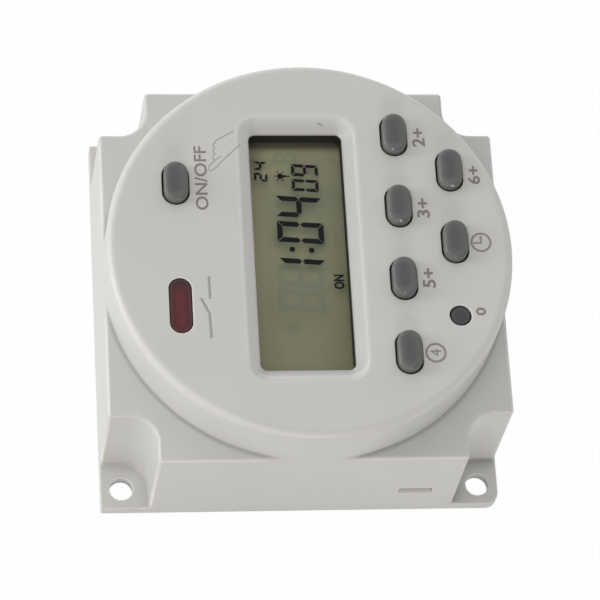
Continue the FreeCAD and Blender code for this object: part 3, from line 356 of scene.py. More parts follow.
def slope_marks(x, y, z):
    """The slope round the screen: painted shade low down and on its right, painted highlights on its left
    and upper edge.
    """
    far, near = abs(x - WINDOW_X), abs(y)
    reach = near + (0.0 - y).above(0.0, 10.0)
    past_side = (far - (WINDOW_WIDE + SLOPE_WIDE - SLOPE_CORNER)).most(0.0)
    past_end = (reach - (WINDOW_LONG + SLOPE_LONG - SLOPE_CORNER)).most(0.0)
    gap = (past_side * past_side + past_end * past_end) ** 0.5 - SLOPE_CORNER
    high = z.above(FACE_HEIGHT - SLOPE_DEEP, 0.2)
    sloping = gap.below(-0.1, 0.3) * high
    off_ends = near.below(WINDOW_LONG + 0.6, 2.4)
    off_sides = far.below(WINDOW_WIDE + 0.5, 2.0)
    # The right side, the foot and the head are painted shade; the left side and the outer edge are painted
    # highlights.
    right = (x - WINDOW_X).above(AT_SIDE, CRISP) * (0.7 - z.above(29.7, 0.4) * 0.6) * off_ends
    left = (WINDOW_X - x).above(AT_SIDE, CRISP) * sloping * off_ends * 0.2
    foot = (0.0 - y).above(AT_END, CRISP) * z.below(29.0, 0.6) * off_sides * 0.75
    head = y.above(AT_END, CRISP) * z.below(29.1, 0.6) * off_sides * 0.5
    outer_highlight = (gap * gap).below(0.2, 0.4) * high * 0.15
    return {
        "inside": gap.below(0.9, 0.6) * high,
        "dust_and_shade": right.most(foot).most(head) * sloping,
        "painted_light": left.most(outer_highlight),
    }


print("the slope drops", SLOPE_DEEP, "mm from the face to the screen")

# %% [markdown]
# ## Painted shade and highlights on the case
# The crease between the round face and its shoulder is painted darker as shade. The
# edges where shoulder, walls and notches meet carry painted highlights, and so do the
# sills of the catch windows and the round face's rim. The ears lie low behind the
# walls and are painted darker towards them as shade, most of all on the side turned
# from the light. The face has one short scratch.

# %% Marks on the case
SHOULDER, DIAL_RADIUS = 20.6, 29.87
RIM_IN, RIM_HEIGHT = 0.5, 29.35
HALF_SIDE, NOTCH, NOTCH_RADIUS, EAR, SILL, WALL_DRAFT = 30.0, 7.1, 4.0, 1.9, 6.8, 0.64
SILL_START, SILL_END = 29.35, 29.84
SCRATCH_X, SCRATCH_Y, SCRATCH_TURN = 2.6, 20.15, radians(-22)
SCRATCH_LONG, SCRATCH_WIDE = 0.5, 0.14
CASE_EDGE, SLOPE_EDGE = 0.28, 0.45


def near_line(one, other, reach, softness):
    """1 near the line where both distances are 0."""
    return (one * one + other * other).below(reach, softness)


def scratch_mark(x, y, z):
    across, ahead = x - SCRATCH_X, y - SCRATCH_Y
    along = across * cos(SCRATCH_TURN) + ahead * sin(SCRATCH_TURN)
    aside = ahead * cos(SCRATCH_TURN) - across * sin(SCRATCH_TURN)
    return along.within(SCRATCH_LONG, 0.3) * aside.within(SCRATCH_WIDE, 0.1) * z.above(27.0, 0.5)


def edge_marks(side, end, z):
    """Painted highlight where shoulder, walls and notches meet, from the distances to the nearest two walls.
    """
    wall = side.least(end) - z * tan(radians(WALL_DRAFT))
    bend_x, bend_y = [(gap - (NOTCH - NOTCH_RADIUS)).most(0.0) for gap in (side, end)]
    notch = (bend_x * bend_x + bend_y * bend_y) ** 0.5 - NOTCH_RADIUS
    up = z - SHOULDER
    meetings = ((wall, up), (notch, up), (notch, wall))
    wall_top, notch_top, notch_wall = [near_line(one, other, 0.1, 0.2) for one, other in meetings]
    return (wall_top * 0.4).most(notch_top.most(notch_wall) * 0.8) * z.above(EAR + 1.0, 1.0)


def case_marks(made):
    """The case's painted shade and its scratch, its painted highlights, the scratch's relief, and its edge
    radius.
    """
    x, y, z = [made.along(axis) for axis in "XYZ"]
    side, end = HALF_SIDE - abs(x), HALF_SIDE - abs(y)
    nearest = side.least(end)
    out = (x * x + y * y) ** 0.5 - DIAL_RADIUS
    # The crease at the foot of the round face is painted shade; the rim, the folds and the sills are painted
    # highlights.
    corner = near_line(out, z - SHOULDER, 0.22, 0.4) * nearest.above(0.7, 0.6)
    rim = near_line(out + RIM_IN, z - RIM_HEIGHT, 0.22, 0.36) * 0.15
    fold = edge_marks(side, end, z) * out.above(0.6, 0.8)
    sill = (z - SILL).within(0.15, 0.1) * abs(y).above(SILL_START, 0.7) * abs(y).below(SILL_END, 0.06)
    # The ears are painted darker towards the walls as shade, more on the side turned from the light.
    shaded = side.most(end).above(NOTCH - 0.9, 1.8) * nearest.above(0.4, 0.3)
    ear = shaded * z.below(EAR + 0.7, 0.9) * (0.5 + x.above(0.0, 10.0) * 0.8)
    scratch = scratch_mark(x, y, z)
    slope = slope_marks(x, y, z)
    return {
        "dust_and_shade": corner.most(scratch * 1.6).most(ear).most(slope["dust_and_shade"]),
        "painted_light": rim.most(fold).most(sill).most(slope["painted_light"]),
        "relief": 1.0 - scratch,
        "radius": CASE_EDGE + slope["inside"] * SLOPE_EDGE,
    }


CASE_COLOUR = (201, 200, 197)
case = moulded("case_plastic", CASE_COLOUR, drift=2, edge=CASE_EDGE, edge_light=46, marks=case_marks)
print("case plastic made of", len(case.node_tree.nodes), "nodes")

# %% [markdown]
# ## The back and the screen's frame
# The snap-in back is the same plastic. Four ejector pins pushed it out of its mould
# and left faint rings, and its catches are painted lighter in their windows, as if
# lit. The frame that holds the glass is painted nearly black as shade away from the
# window's lit side, and browner as painted light on that side.

# %% Marks on the back and the frame
PIN_X, PIN_Y, PIN_RADIUS = 14.0, 17.0, 2.4
CATCH_START = 28.5


def cover_marks(made):
    x, y = [abs(made.along(axis)) for axis in "XY"]
    ring = (((x - PIN_X) ** 2 + (y - PIN_Y) ** 2) ** 0.5 - PIN_RADIUS).within(0.14, 0.12)
    # The rings are real marks; the lighter catch faces are painted light.
    return {"dust_and_shade": ring * 0.3, "painted_light": y.above(CATCH_START, 0.2), "relief": 1.0 - ring}


def frame_marks(made):
    # Painted shade makes the frame nearly black, and painted light makes its lit side browner.
    lit_side = made.along("X").above(WINDOW_X + WINDOW_WIDE, 0.4)
    return {"dust_and_shade": (1.0 - lit_side) * 2.2, "painted_light": lit_side}


moulded("cover_plastic", CASE_COLOUR, drift=2, edge=0.2, edge_light=30, marks=cover_marks)
moulded("dark_frame", (25, 24, 21), drift=2, gloss=0.7, edge_light=14, marks=frame_marks)
print("marked plastics:", list(FINISHES)[-2:])

# %% [markdown]
# ## The keys
# The seven long keys are mid grey with a soft satin skin. Their tops are painted
# darker as shade in the middle of the dish and are a little shinier there, and light
# flecks at one end are painted glints. The reset key is a darker grey with a fine
# turned ring. The attributes that place the painted shade and the glints come later.

# %% Key plastics
FLECK, TURNED_RADIUS = (208, 208, 205), 1.05


def key_plastic(name, base, gloss=0.42, ring_at=None):
    """Satin plastic, painted darker as shade in the dish and flecked with painted glints at one end, as two
    point attributes say.
    """
    made = Finish(name)
    tone = made.blend(made.noise(2.2).above(0.5, 0.4), toned(base, plus=-4), toned(base, plus=4))
    # Painted shade in the dish, and painted glints at one end.
    painted_dish_shade = made.node("ShaderNodeAttribute", {"attribute_name": "painted_dish_shade"}, output="Fac")
    tone = made.blend(painted_dish_shade * 0.9, tone, toned(base, plus=-33))
    painted_glints = made.node("ShaderNodeAttribute", {"attribute_name": "painted_glints"}, output="Fac")
    flecks = made.noise(0.55, detail=1.0).above(0.68, 0.06) * painted_glints
    tone = made.blend(flecks * 0.8, tone, colour(*FLECK))
    if ring_at:
        x, y = [made.along(axis) - middle for axis, middle in zip("XY", ring_at)]
        turned = ((x * x + y * y) ** 0.5 - TURNED_RADIUS).within(0.07, 0.1)
        tone = made.blend(turned * 0.6, tone, toned(base, plus=26))
    skin = made.bump(made.noise(0.12), 0.012)
    sheen = gloss + made.noise(1.4) * 0.08 - painted_dish_shade * 0.04
    return made.surface(Base_Color=tone, Roughness=sheen, Normal=skin, Coat_Weight=0.08, Coat_Roughness=0.15)


key_plastic("key_plastic", (106, 106, 104))
key_plastic("dark_key_plastic", (58, 58, 60), gloss=0.45, ring_at=middle_of("key_reset")[:2])
print("key plastics:", list(FINISHES)[-2:])

# %% [markdown]
# ## Rubbers, resins and coated parts
# Under the keys lie two silicone mats, matt and faintly dusty. The conductive strips
# beside the glass are layered rubber, so they show thin stripes. The blob on the
# controller is black epoxy that levelled itself, and the varistor and the resistors
# were dipped, which leaves a skin with slow waves.

# %% Soft and dipped finishes
def dipped(name, base, gloss=0.22, wave=0.08):
    made = Finish(name)
    pool = made.noise(2.5, detail=1.0)
    tone = made.blend(pool.above(0.5, 0.6), toned(base, 0.82), colour(*base))
    sheen = gloss + made.noise(1.0) * 0.1
    made.surface(Base_Color=tone, Roughness=sheen, Normal=made.bump(pool, wave), Coat_Weight=0.4)


dipped("black_resin", (24, 24, 25), gloss=0.28, wave=0.15)
dipped("blue_resin", (30, 72, 148))
mat = Finish("mat_rubber")
dust_and_shade = mat.noise(0.9, detail=6.0).above(0.62, 0.2)
dusty = mat.blend(dust_and_shade * 0.35, colour(112, 112, 114), colour(158, 158, 160))
mat.surface(Base_Color=dusty, Roughness=0.62 + dust_and_shade * 0.2, Normal=mat.bump(mat.noise(0.2), 0.015))
strips = Finish("contact_rubber")
layers = {"Vector": strips.place(), "Scale": 1600.0, "Distortion": 0.6}
stripe = strips.node("ShaderNodeTexWave", {"bands_direction": "Y"}, layers)
striped = strips.blend(stripe.above(0.5, 0.3), colour(40, 40, 42), colour(186, 160, 160))
strips.surface(Base_Color=striped, Roughness=0.7, Normal=strips.bump(stripe, 0.01))
print("soft finishes:", list(FINISHES)[-4:])

# %% [markdown]
# ## Colour bands
# The resistors carry rings of colour round their bodies and the diodes one pale
# ring at an end. All of them lie along X, so a ring is simply a short range of the
# X coordinate, and each range switches the colour of the dip below it.

# %% Banded bodies
def banded(name, base, bands, gloss=0.3):
    """A dipped body with rings: each band is (middle in mm along X, width, colour)."""
    made = Finish(name)
    across = made.along("X")
    tone = made.blend(made.noise(1.2).above(0.5, 0.5), toned(base, 0.9), colour(*base))
    for middle, width, paint in bands:
        tone = made.blend((across - middle).within(width / 2, 0.05), tone, colour(*paint))
    skin = made.bump(made.noise(1.6), 0.03)
    made.surface(Base_Color=tone, Roughness=gloss + made.noise(0.8) * 0.1, Normal=skin)


BAND, DIODE_BAND, DIODE_BAND_AT = 0.35, 0.6, 1.5
BAND_PAINTS = {-1.5: (122, 70, 30), -0.7: (30, 30, 30), 0.1: (200, 60, 30), 1.3: (190, 150, 60)}
bands = [(middle_of("resistors")[0] + at, BAND, paint) for at, paint in BAND_PAINTS.items()]
banded("beige_resin", (196, 170, 128), bands)
diode_ring = (middle_of("rectifier_diodes")[0] + DIODE_BAND_AT, DIODE_BAND, (176, 178, 180))
banded("diode_body", (34, 34, 36), [diode_ring])
print("bands at", [round(at, 2) for at, _, _ in bands])

# %% [markdown]
# ## The metals
# The blades are stamped brass under a dull tin plate that wears through at the
# edges. The screws and pins are plain steel, the button cell is brushed steel, and
# the capacitor's can is bright aluminium with a scored top. Fine scratches that all
# run one way come from noise squeezed along one axis.

# %% Metals
def scratched_metal(name, base, squeeze, gloss=0.3, wear_and_highlight=None):
    """A metal with fine scratches: squeeze stretches them along one axis."""
    made = Finish(name)
    stretched = made.node("ShaderNodeMapping", {}, {"Vector": made.place(), "Scale": squeeze})
    scratches = made.node("ShaderNodeTexNoise", {}, {"Vector": stretched, "Scale": 2500.0, "Detail": 4.0})
    tone = made.blend(scratches.above(0.5, 0.6), toned(base, 0.86), colour(*base))
    if wear_and_highlight:
        tone = made.blend(made.at_edges(0.12), tone, colour(*wear_and_highlight))
    skin = made.bump(scratches, 0.004, over=made.rounded(0.08))
    sheen = gloss - 0.06 + made.noise(1.5) * 0.14
    made.surface(Base_Color=tone, Metallic=1.0, Roughness=sheen, Normal=skin)


scratched_metal("tinned_brass", (206, 203, 192), (0.12, 1.0, 1.0), wear_and_highlight=(206, 176, 104))
scratched_metal("plain_steel", (168, 168, 170), (1.0, 1.0, 0.3), gloss=0.34)
scratched_metal("cell_metal", (190, 190, 188), (0.15, 1.0, 1.0), gloss=0.26)
scratched_metal("can_aluminium", (206, 208, 210), (1.0, 1.0, 0.2), gloss=0.24)
print("metals:", list(FINISHES)[-4:])

# %% [markdown]
# ## The boards
# A circuit board is woven glass under green lacquer. The weave shows as a faint
# square ripple and the copper tracks as slightly lighter lanes with a raised edge.
# Lanes that turn at right angles come from cells measured in the city-block way,
# whose borders run straight.

# %% The green lacquer
lacquer = Finish("board_green")
cells = {"Vector": lacquer.place(), "Scale": 420.0, "Randomness": 0.85}
lane = lacquer.node("ShaderNodeTexVoronoi", {"distance": "CHEBYCHEV", "feature": "F1"}, cells)
track = lane.above(0.42, 0.05)
weave = lacquer.node("ShaderNodeTexChecker", {}, {"Vector": lacquer.place(), "Scale": 3200.0}, output="Fac")
green = lacquer.blend(track, colour(22, 84, 50), colour(52, 118, 66))
green = lacquer.blend(weave * 0.12, green, colour(16, 60, 38))
relief = lacquer.bump(track, 0.03, over=lacquer.bump(weave, 0.004))
lacquer.surface(Base_Color=green, Roughness=0.3 + track * 0.08, Normal=relief, Coat_Weight=0.3)
print("board lacquer made of", len(lacquer.tree.nodes), "nodes")

# %% [markdown]
# ## The red lens
# The lens is a bar of dark red plastic, moulded clear. With the lamp off it is dark,
# most of all at one end. Down its middle a slightly lighter red streak is a painted
# reflection of the lamp below, and a thin pale line just inside its dark outer edge
# is a painted highlight. These are masks on the X and Y coordinates, so they stay in
# the lens from every side.

# %% The lens and the lamp under it
LENS_RADIUS, LENS_STRAIGHT, LENS_LINE = 1.7, 2.65, 0.38
lens_x, lens_y = middle_of("indicator_lens")[:2]
lens = Finish("red_lens")
aside, ahead = lens.along("X") - lens_x, lens.along("Y") - lens_y
cloud = lens.noise(1.3)
# The streak is a painted reflection of the lamp below, and the pale line a painted highlight.
streak = aside.within(0.62, 0.7) * ahead.within(3.2, 1.4) * (0.6 + cloud * 0.4)
past = (abs(ahead) - LENS_STRAIGHT).most(0.0)
from_rim = LENS_RADIUS - (aside * aside + past * past) ** 0.5
red = lens.blend(streak, colour(75, 33, 35), colour(99, 35, 41))
red = lens.blend(ahead.above(2.9, 1.6) * 0.8, red, colour(50, 37, 37))
red = lens.blend((from_rim - LENS_LINE).within(0.08, 0.12) * 0.45, red, colour(104, 70, 68))
red = lens.blend(from_rim.below(0.2, 0.14) * 0.6, red, colour(50, 26, 28))
lens_skin = lens.bump(lens.noise(0.5), 0.01)
lens.surface(Base_Color=red, Roughness=0.3 + cloud * 0.08, Normal=lens_skin, Specular_IOR_Level=0.35)
lamp = Finish("red_lamp")
glow = lamp.blend(lamp.noise(1.2), colour(150, 20, 26), colour(196, 52, 50))
lamp.surface(Base_Color=glow, Roughness=0.2 + lamp.noise(0.8) * 0.1, Transmission_Weight=0.3)
print("lens middle in mm:", round(lens_x, 2), round(lens_y, 2))

# %% [markdown]
# ## The screen's reflector
# Behind the glass a grey-green foil with a fine sparkle makes the screen's ground
# colour. It lies deep in the window, so light reaches it unevenly, and the washes of
# lighter and darker tones along its edges are painted light and painted shade. One
# oval field near its foot is dull. The dark figures stand about a millimetre above it
# and shade it.

# %% The foil and the clear glass
foil_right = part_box("screen_reflector")[1].x / MM


def foil_finish(name, tint=(1.0, 1.0, 1.0)):
    """The foil's ground colour and the washes over it, all times a tint."""
    def tinted(*tone):
        return colour(*[channel * share for channel, share in zip(tone, tint)])

    foil = Finish(name)
    across, along = foil.along("X"), foil.along("Y")
    sparkle = foil.noise(0.1, detail=2.0)
    field = ((across + 1.6) * 0.21) ** 2 + ((along + 5.9) * 0.23) ** 2
    # The washes at the far end, the sides and the edges are painted light and painted shade.
    washes = {
        "dull field": (field.below(1.0, 1.2) * 0.5, (134, 135, 104)),
        "far end": (along.above(14.5, 6.0), (200, 199, 163)),
        "left side": (across.below(-6.6, 2.6), (184, 182, 146)),
        "lit strip": (along.above(17.55, 0.7), (213, 212, 175)),
        "far edge": (along.above(19.1, 0.9), (124, 122, 99)),
        "sparkle": (sparkle * 0.25, (172, 173, 144)),
        "right edge": (across.above(foil_right - 0.9, 1.6) * 0.9, (96, 86, 62)),
    }
    olive = foil.blend(along.above(0.0, 40.0), tinted(158, 156, 120), tinted(154, 157, 128))
    for mask, tone in washes.values():
        olive = foil.blend(mask, olive, tinted(*tone))
    foil.surface(Base_Color=olive, Roughness=0.5 + sparkle * 0.15, Normal=foil.bump(sparkle, 0.004))


foil_finish("reflector_film")
foil_finish("faint_film", (0.925, 0.965, 0.975))
clear = Finish("screen_glass")
smear = clear.noise(9.0, detail=4.0)
haze = clear.blend(smear, colour(96, 98, 84), colour(112, 114, 98))
glassy = clear.surface(Base_Color=haze, Roughness=0.08 + smear * 0.06, Alpha=0.03 + smear * 0.02)
FINISHES["clear_pane"] = glassy.copy()
FINISHES["clear_pane"].name = "clear_pane"
print("screen finishes:", list(FINISHES)[-4:])

# %% [markdown]
# ## Each node gets its finish
# Each slot of a CAD node takes the finish that is filed under its name. Two nodes
# share a slot with another part, and get a finish of their own.

# %% From slot to finish
for node in NODES.values():
    for index, slot in enumerate(node.material_slots):
        node.data.materials[index] = FINISHES[slot.material.name.split(".")[0]]
NODES["rectifier_diodes"].data.materials[0] = FINISHES["diode_body"]
NODES["back_cover"].data.materials[0] = FINISHES["cover_plastic"]
print("nodes with a finish:", len(NODES))

# %% [markdown]
# ## Working by hand, in code
# The new pieces are made with the same tools as by hand, and a few small helpers
# keep that safe. One lets go of everything, because a tool acts on all that is
# selected, and others take hold of pieces or open one for editing. One pulls the
# selected faces up, one turns all faces outward, and the last joins pieces into one,
# puts its place into its mesh and lets it ride on its body.

# %% Letting go, taking hold, settling
def let_go():
    if bpy.context.object and bpy.context.object.mode != "OBJECT":
        bpy.ops.object.mode_set(mode="OBJECT")
    bpy.ops.object.select_all(action="DESELECT")


def take(*pieces):
    let_go()
    for piece in pieces:
        piece.select_set(True)
    bpy.context.view_layer.objects.active = pieces[0]


def edit(piece, action="SELECT", kind="FACE"):
    take(piece)
    bpy.ops.object.mode_set(mode="EDIT")
    bpy.ops.mesh.select_mode(type=kind)
    bpy.ops.mesh.select_all(action=action)


def extrude(rise):
    bpy.ops.mesh.extrude_region_move(TRANSFORM_OT_translate={"value": (0, 0, rise)})


def face_outward():
    bpy.ops.mesh.select_all(action="SELECT")
    bpy.ops.mesh.normals_make_consistent(inside=False)
    bpy.ops.object.mode_set(mode="OBJECT")


def settle(pieces, name, finish, body="housing"):
    """Makes one piece of them, its place put into its mesh, that rides on its body."""
    take(*pieces)
    if len(pieces) > 1:
        bpy.ops.object.join()
    bpy.ops.object.transform_apply(location=True, rotation=True, scale=True)
    piece = bpy.context.object
    piece.name = piece.data.name = name
    piece.data.materials.clear()
    piece.data.materials.append(FINISHES[finish])
    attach(piece, body)
    let_go()
    return piece


print("helpers ready, in mode", bpy.context.mode)

# %% [markdown]
# ## The screen's glass
# On the real screen a clear pane lies on two sheets of glass, and the figures are
# between the sheets. Where three clear layers touch face to face, a renderer can't
# tell which face comes first, so here they are one block with a step: the broad
# pane and upper glass above, the shorter lower glass below. Its edges are ground.

# %% One stepped block of glass
pane_low, pane_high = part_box("screen_pane")
lower_low, lower_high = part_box("screen_lower_glass")
GLASS_GAP, GROUND_EDGE, WELD = 0.00002, 0.00012, 0.000001
let_go()
bpy.ops.mesh.primitive_cube_add(size=1.0, location=(pane_low + pane_high) / 2)
glass = bpy.context.object
glass.dimensions = pane_high - pane_low
bpy.ops.object.transform_apply(location=True, rotation=False, scale=True)
edit(glass, "DESELECT")
shape = bmesh.from_edit_mesh(glass.data)
for face in shape.faces:
    face.select_set(face.normal.z < -0.9)
bmesh.update_edit_mesh(glass.data)
extrude(lower_high.z - pane_low.z)
extrude(0)
shorter = (lower_high.y - lower_low.y) / (pane_high.y - pane_low.y)
bpy.ops.transform.resize(value=(1, shorter, 1))
extrude(lower_low.z + GLASS_GAP - lower_high.z)
bpy.ops.mesh.select_all(action="SELECT")
bpy.ops.mesh.remove_doubles(threshold=WELD)
face_outward()
ground = glass.modifiers.new("ground_edges", "BEVEL")
ground.width = GROUND_EDGE
ground.segments = 2
ground.limit_method = "ANGLE"
bpy.ops.object.modifier_apply(modifier="ground_edges")
settle([glass], "screen_glass_stack", "screen_glass")
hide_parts("screen_pane", "screen_upper_glass", "screen_lower_glass")
print("glass block faces:", len(glass.data.polygons))

# %% [markdown]
# ## A figure's bar
# Every figure on the screen is built of flat bars cut from a dark film, mitred where
# they meet at a corner, with a thin light gap between, and pointed in the figure's
# middle. A bar is modelled from a disc with as many sides as the bar has corners:
# each corner is pulled to its place, and the disc is extruded to the film's thickness.

# %% One bar
SEGMENT_Z = lower_high.z
FILM = 0.00004


def ink(name, base, drift=10, gloss=0.55, shine=0.5):
    made = Finish(name)
    tone = made.blend(made.noise(0.35, detail=4.0).above(0.5, 0.5), colour(*base), toned(base, plus=drift))
    skin = made.bump(made.noise(0.1), 0.004)
    sheen = gloss + made.noise(0.5) * 0.1
    made.surface(Base_Color=tone, Roughness=sheen, Normal=skin, Specular_IOR_Level=shine)


def cut_bar(corners, level=SEGMENT_Z, thick=FILM):
    """A flat bar with these corners, each (x, y) in mm, standing on that level."""
    let_go()
    bpy.ops.mesh.primitive_circle_add(vertices=len(corners), radius=MM, fill_type="NGON")
    bar = bpy.context.object
    edit(bar)
    shape = bmesh.from_edit_mesh(bar.data)
    for vertex, (x, y) in zip(shape.verts, corners):
        vertex.co = (x * MM, y * MM, level)
    bmesh.update_edit_mesh(bar.data)
    extrude(thick)
    face_outward()
    return bar


ink("segment_film", (17, 17, 24), drift=6, gloss=0.4, shine=0.1)
print("the bars are", FILM / MM, "mm thick, made of", list(FINISHES)[-1])

# %% [markdown]
# ## Figures from bars
# A seven-bar figure has three bars across and four along, and which of them are dark
# says which digit it is. The figures read towards +Y with their tops towards -X, and
# lean forward by four degrees. The corners are written once, for the top bar, the
# upper right one and the middle one, and the other bars are these mirrored.

# %% Setting a digit
LEAN = tan(radians(4))
DARK_BARS = {"0": "abcdef", "1": "bc", "2": "abged", "4": "fgbc", "8": "abcdefg", "9": "abcdfg"}


def bar_corners(letter, width, height, stroke, gap):
    """The corners of one bar, as (sideways, upwards) from the figure's middle."""
    side, top = width / 2, height / 2
    inner, point = side - stroke - gap, side - stroke / 2 - gap
    shoulder = stroke * 0.45 + gap / 2
    across = [(gap - side, top), (side - gap, top), (inner, top - stroke), (-inner, top - stroke)]
    upright = [
        (side, top - gap), (side, shoulder), (side - stroke / 2, gap / 2),
        (side - stroke, shoulder), (side - stroke, top - stroke - gap),
    ]
    middle = [
        (-point, 0), (-inner, stroke / 2), (inner, stroke / 2),
        (point, 0), (inner, -stroke / 2), (-inner, -stroke / 2),
    ]
    shapes = {
        "a": (across, 1, 1), "d": (across, 1, -1), "g": (middle, 1, 1), "b": (upright, 1, 1),
        "c": (upright, 1, -1), "f": (upright, -1, 1), "e": (upright, -1, -1),
    }
    corners, sideways, upwards = shapes[letter]
    return [(a * sideways, b * upwards) for a, b in corners]


def digits(places, width, height, stroke, level=SEGMENT_Z, gap=0.09, thick=FILM):
    """The bars of one or more digits: places holds each sign and its middle (x, y) in mm."""
    bars = []
    for sign, (x, y) in places:
        for letter in DARK_BARS[sign]:
            corners = bar_corners(letter, width, height, stroke, gap)
            placed = [(x - up, y + right + up * LEAN) for right, up in corners]
            bars.append(cut_bar(placed, level, thick))
    return bars


large = digits([("4", (-0.65, 9.05)), ("0", (-0.63, 4.92)), ("1", (-0.63, -1.05))], 3.35, 6.9, 0.78)
figures = settle(large, "screen_figures_large", "segment_film")
small = digits([("9", (0.5, 15.05)), ("0", (0.48, 12.6))], 1.95, 4.0, 0.48)
settle(small, "screen_figures_small", "segment_film")
print("large figures:", [round(v / MM, 2) for v in figures.dimensions], "mm")

# %% [markdown]
# ## Dots and small words on the screen
# The colon is two small discs, and the symbol beside the seconds is a disc with a
# short tail and five rays. The word ON and a plain 24 for the day's hours are thin
# signs. Letters are typed as text, given the film's thickness and turned into a
# mesh, and only then set in place, so that the finished mesh holds its own place.

# %% Discs and words
def disc(middle, radius, level=SEGMENT_Z, thick=FILM):
    let_go()
    bpy.ops.mesh.primitive_circle_add(vertices=24, radius=radius * MM, fill_type="NGON")
    made = bpy.context.object
    edit(made)
    bpy.ops.mesh.inset(thickness=radius * MM * 0.2)
    bpy.ops.mesh.select_all(action="SELECT")
    extrude(thick)
    face_outward()
    made.data.transform(Matrix.Translation((middle[0] * MM, middle[1] * MM, level)))
    return made


def word(text, middle, height, level, thick=FILM, width=None, weight=0.0):
    """Letters this many mm high, reading towards +Y, their middle at middle."""
    let_go()
    bpy.ops.object.text_add()
    typed = bpy.context.object.data
    typed.body = text
    typed.size = 1.0
    typed.extrude = 0.05
    typed.offset = weight
    typed.resolution_u = 4
    bpy.ops.object.convert(target="MESH")
    made = bpy.context.object
    low, high = [[end(v.co[i] for v in made.data.vertices) for i in range(3)] for end in (min, max)]
    tall = height * MM / (high[1] - low[1])
    wide = width * MM / (high[0] - low[0]) if width else tall
    centring = Matrix.Translation((-(low[0] + high[0]) / 2, -(low[1] + high[1]) / 2, -low[2]))
    sizing = Matrix.Diagonal((wide, tall, thick / (high[2] - low[2]), 1))
    turning = Matrix.Rotation(pi / 2, 4, "Z")
    placing = Matrix.Translation((middle[0] * MM, middle[1] * MM, level))
    made.data.transform(placing @ turning @ sizing @ centring)
    return made


colon = [disc((-2.02, 2.2), 0.42), disc((0.85, 2.02), 0.42)]
settle(colon, "screen_colon", "segment_film")
SYMBOL_X, SYMBOL_Y = -3.2, 14.15
RAY = ((0.6, 0.08), (0.92, 0.08), (0.92, -0.08), (0.6, -0.08))
symbol = [disc((SYMBOL_X, SYMBOL_Y), 0.46)]
symbol += [cut_bar([(-2.85, 13.92), (-1.75, 14.07), (-1.75, 14.17), (-2.85, 14.36)])]
for turn in range(1, 6):
    along_x, along_y = cos(radians(60 * turn)), sin(radians(60 * turn))
    corners = [
        (SYMBOL_X + along_x * reach - along_y * half, SYMBOL_Y + along_y * reach + along_x * half)
        for reach, half in RAY
    ]
    symbol.append(cut_bar(corners))
settle(symbol, "screen_symbol", "segment_film")
on_word = word("ON", (4.63, -3.08), 1.55, SEGMENT_Z, width=2.3, weight=0.035)
settle([on_word], "screen_word_on", "segment_film")
hours = digits([("2", (-6.1, 14.0)), ("4", (-6.1, 15.85))], 1.4, 2.0, 0.36, gap=0.05)
day_word = settle(hours, "screen_hours_mark", "segment_film")
print("words on the screen:", on_word.name, day_word.name)

# %% [markdown]
# ## The bars that are off
# A screen of this kind never hides its unlit bars quite. They show as a breath of
# grey-green, a little cooler than the ground. They are thin film bars on the
# reflector itself.

# %% Faint bars
FOIL_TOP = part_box("screen_reflector")[1].z
FAINT_GAP, THIN = 0.03, 0.000006
faint = digits([("8", (-0.9, -5.6)), ("8", (-0.8, -1.7))], 3.6, 7.1, 1.0, FOIL_TOP, FAINT_GAP, THIN)
faint += digits([("8", (-2.2, 17.6))], 1.9, 3.4, 0.6, FOIL_TOP, FAINT_GAP, THIN)
faint += [disc((-2.46, -10.14), 0.95, FOIL_TOP, THIN)]
ghosts = settle(faint, "screen_faint_bars", "faint_film")
print("faint bars have", len(ghosts.data.polygons), "faces")

# %% [markdown]
# ## The long keys
# A long key is a bar with round ends. Its top is pressed in a little, so that a
# finger finds it, and its rim rolls over softly into the sides. A bevel would give
# an even edge, but this rim is fuller than its dish, so the top is drawn in ring by
# ring: each ring is an inset of the one before, moved up or down. The key is
# modelled once, with the foot that keeps it in the case, and copied.

# %% One key, ring by ring
key_low, key_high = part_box("key_minute")
FOOT_WIDE, FOOT_LONG = key_high.x - key_low.x, key_high.y - key_low.y
FOOT_EDGE, FOOT_THICK = 0.78 * MM, 0.80 * MM
RIM, RIM_STEPS, SLIVER = 0.42 * MM, 6, 1e-7
DISH = ((0.2, -0.01), (0.26, -0.04), (0.28, -0.045), (0.26, -0.03), (0.18, -0.01))


def draw_in(inward, rise):
    bpy.ops.mesh.inset(thickness=inward)
    bpy.ops.transform.translate(value=(0, 0, rise))


let_go()
bpy.ops.mesh.primitive_circle_add(vertices=62, radius=FOOT_WIDE / 2, fill_type="NGON")
key = bpy.context.object
edit(key, "DESELECT", "VERT")
shape = bmesh.from_edit_mesh(key.data)
for side in (1, -1):
    for vertex in shape.verts:
        vertex.select_set(vertex.co.y * side > 0)
    bmesh.update_edit_mesh(key.data)
    bpy.ops.transform.translate(value=(0, side * (FOOT_LONG - FOOT_WIDE) / 2, 0))
bpy.ops.mesh.select_mode(type="FACE")
bpy.ops.mesh.select_all(action="SELECT")
extrude(FOOT_THICK)
draw_in(FOOT_EDGE, 0)
extrude(key_high.z - key_low.z - FOOT_THICK - RIM)
for step in range(RIM_STEPS):
    before, after = [pi / 2 * n / RIM_STEPS for n in (step, step + 1)]
    draw_in(RIM * (cos(before) - cos(after)) + SLIVER, RIM * (sin(after) - sin(before)))
for inward, rise in DISH:
    draw_in(inward * MM, rise * MM)
face_outward()
bpy.ops.object.shade_smooth_by_angle(angle=radians(40))
print("a key has", len(key.data.polygons), "faces")

# %% [markdown]
# ## Painted shade and glints, seven times
# An oval on a key's top, a little to one side, is painted darker as shade, and the
# rim at one end carries painted glints. Both are attributes of its points, which the
# finish reads, and unlike a mask on coordinates they travel with each copy.

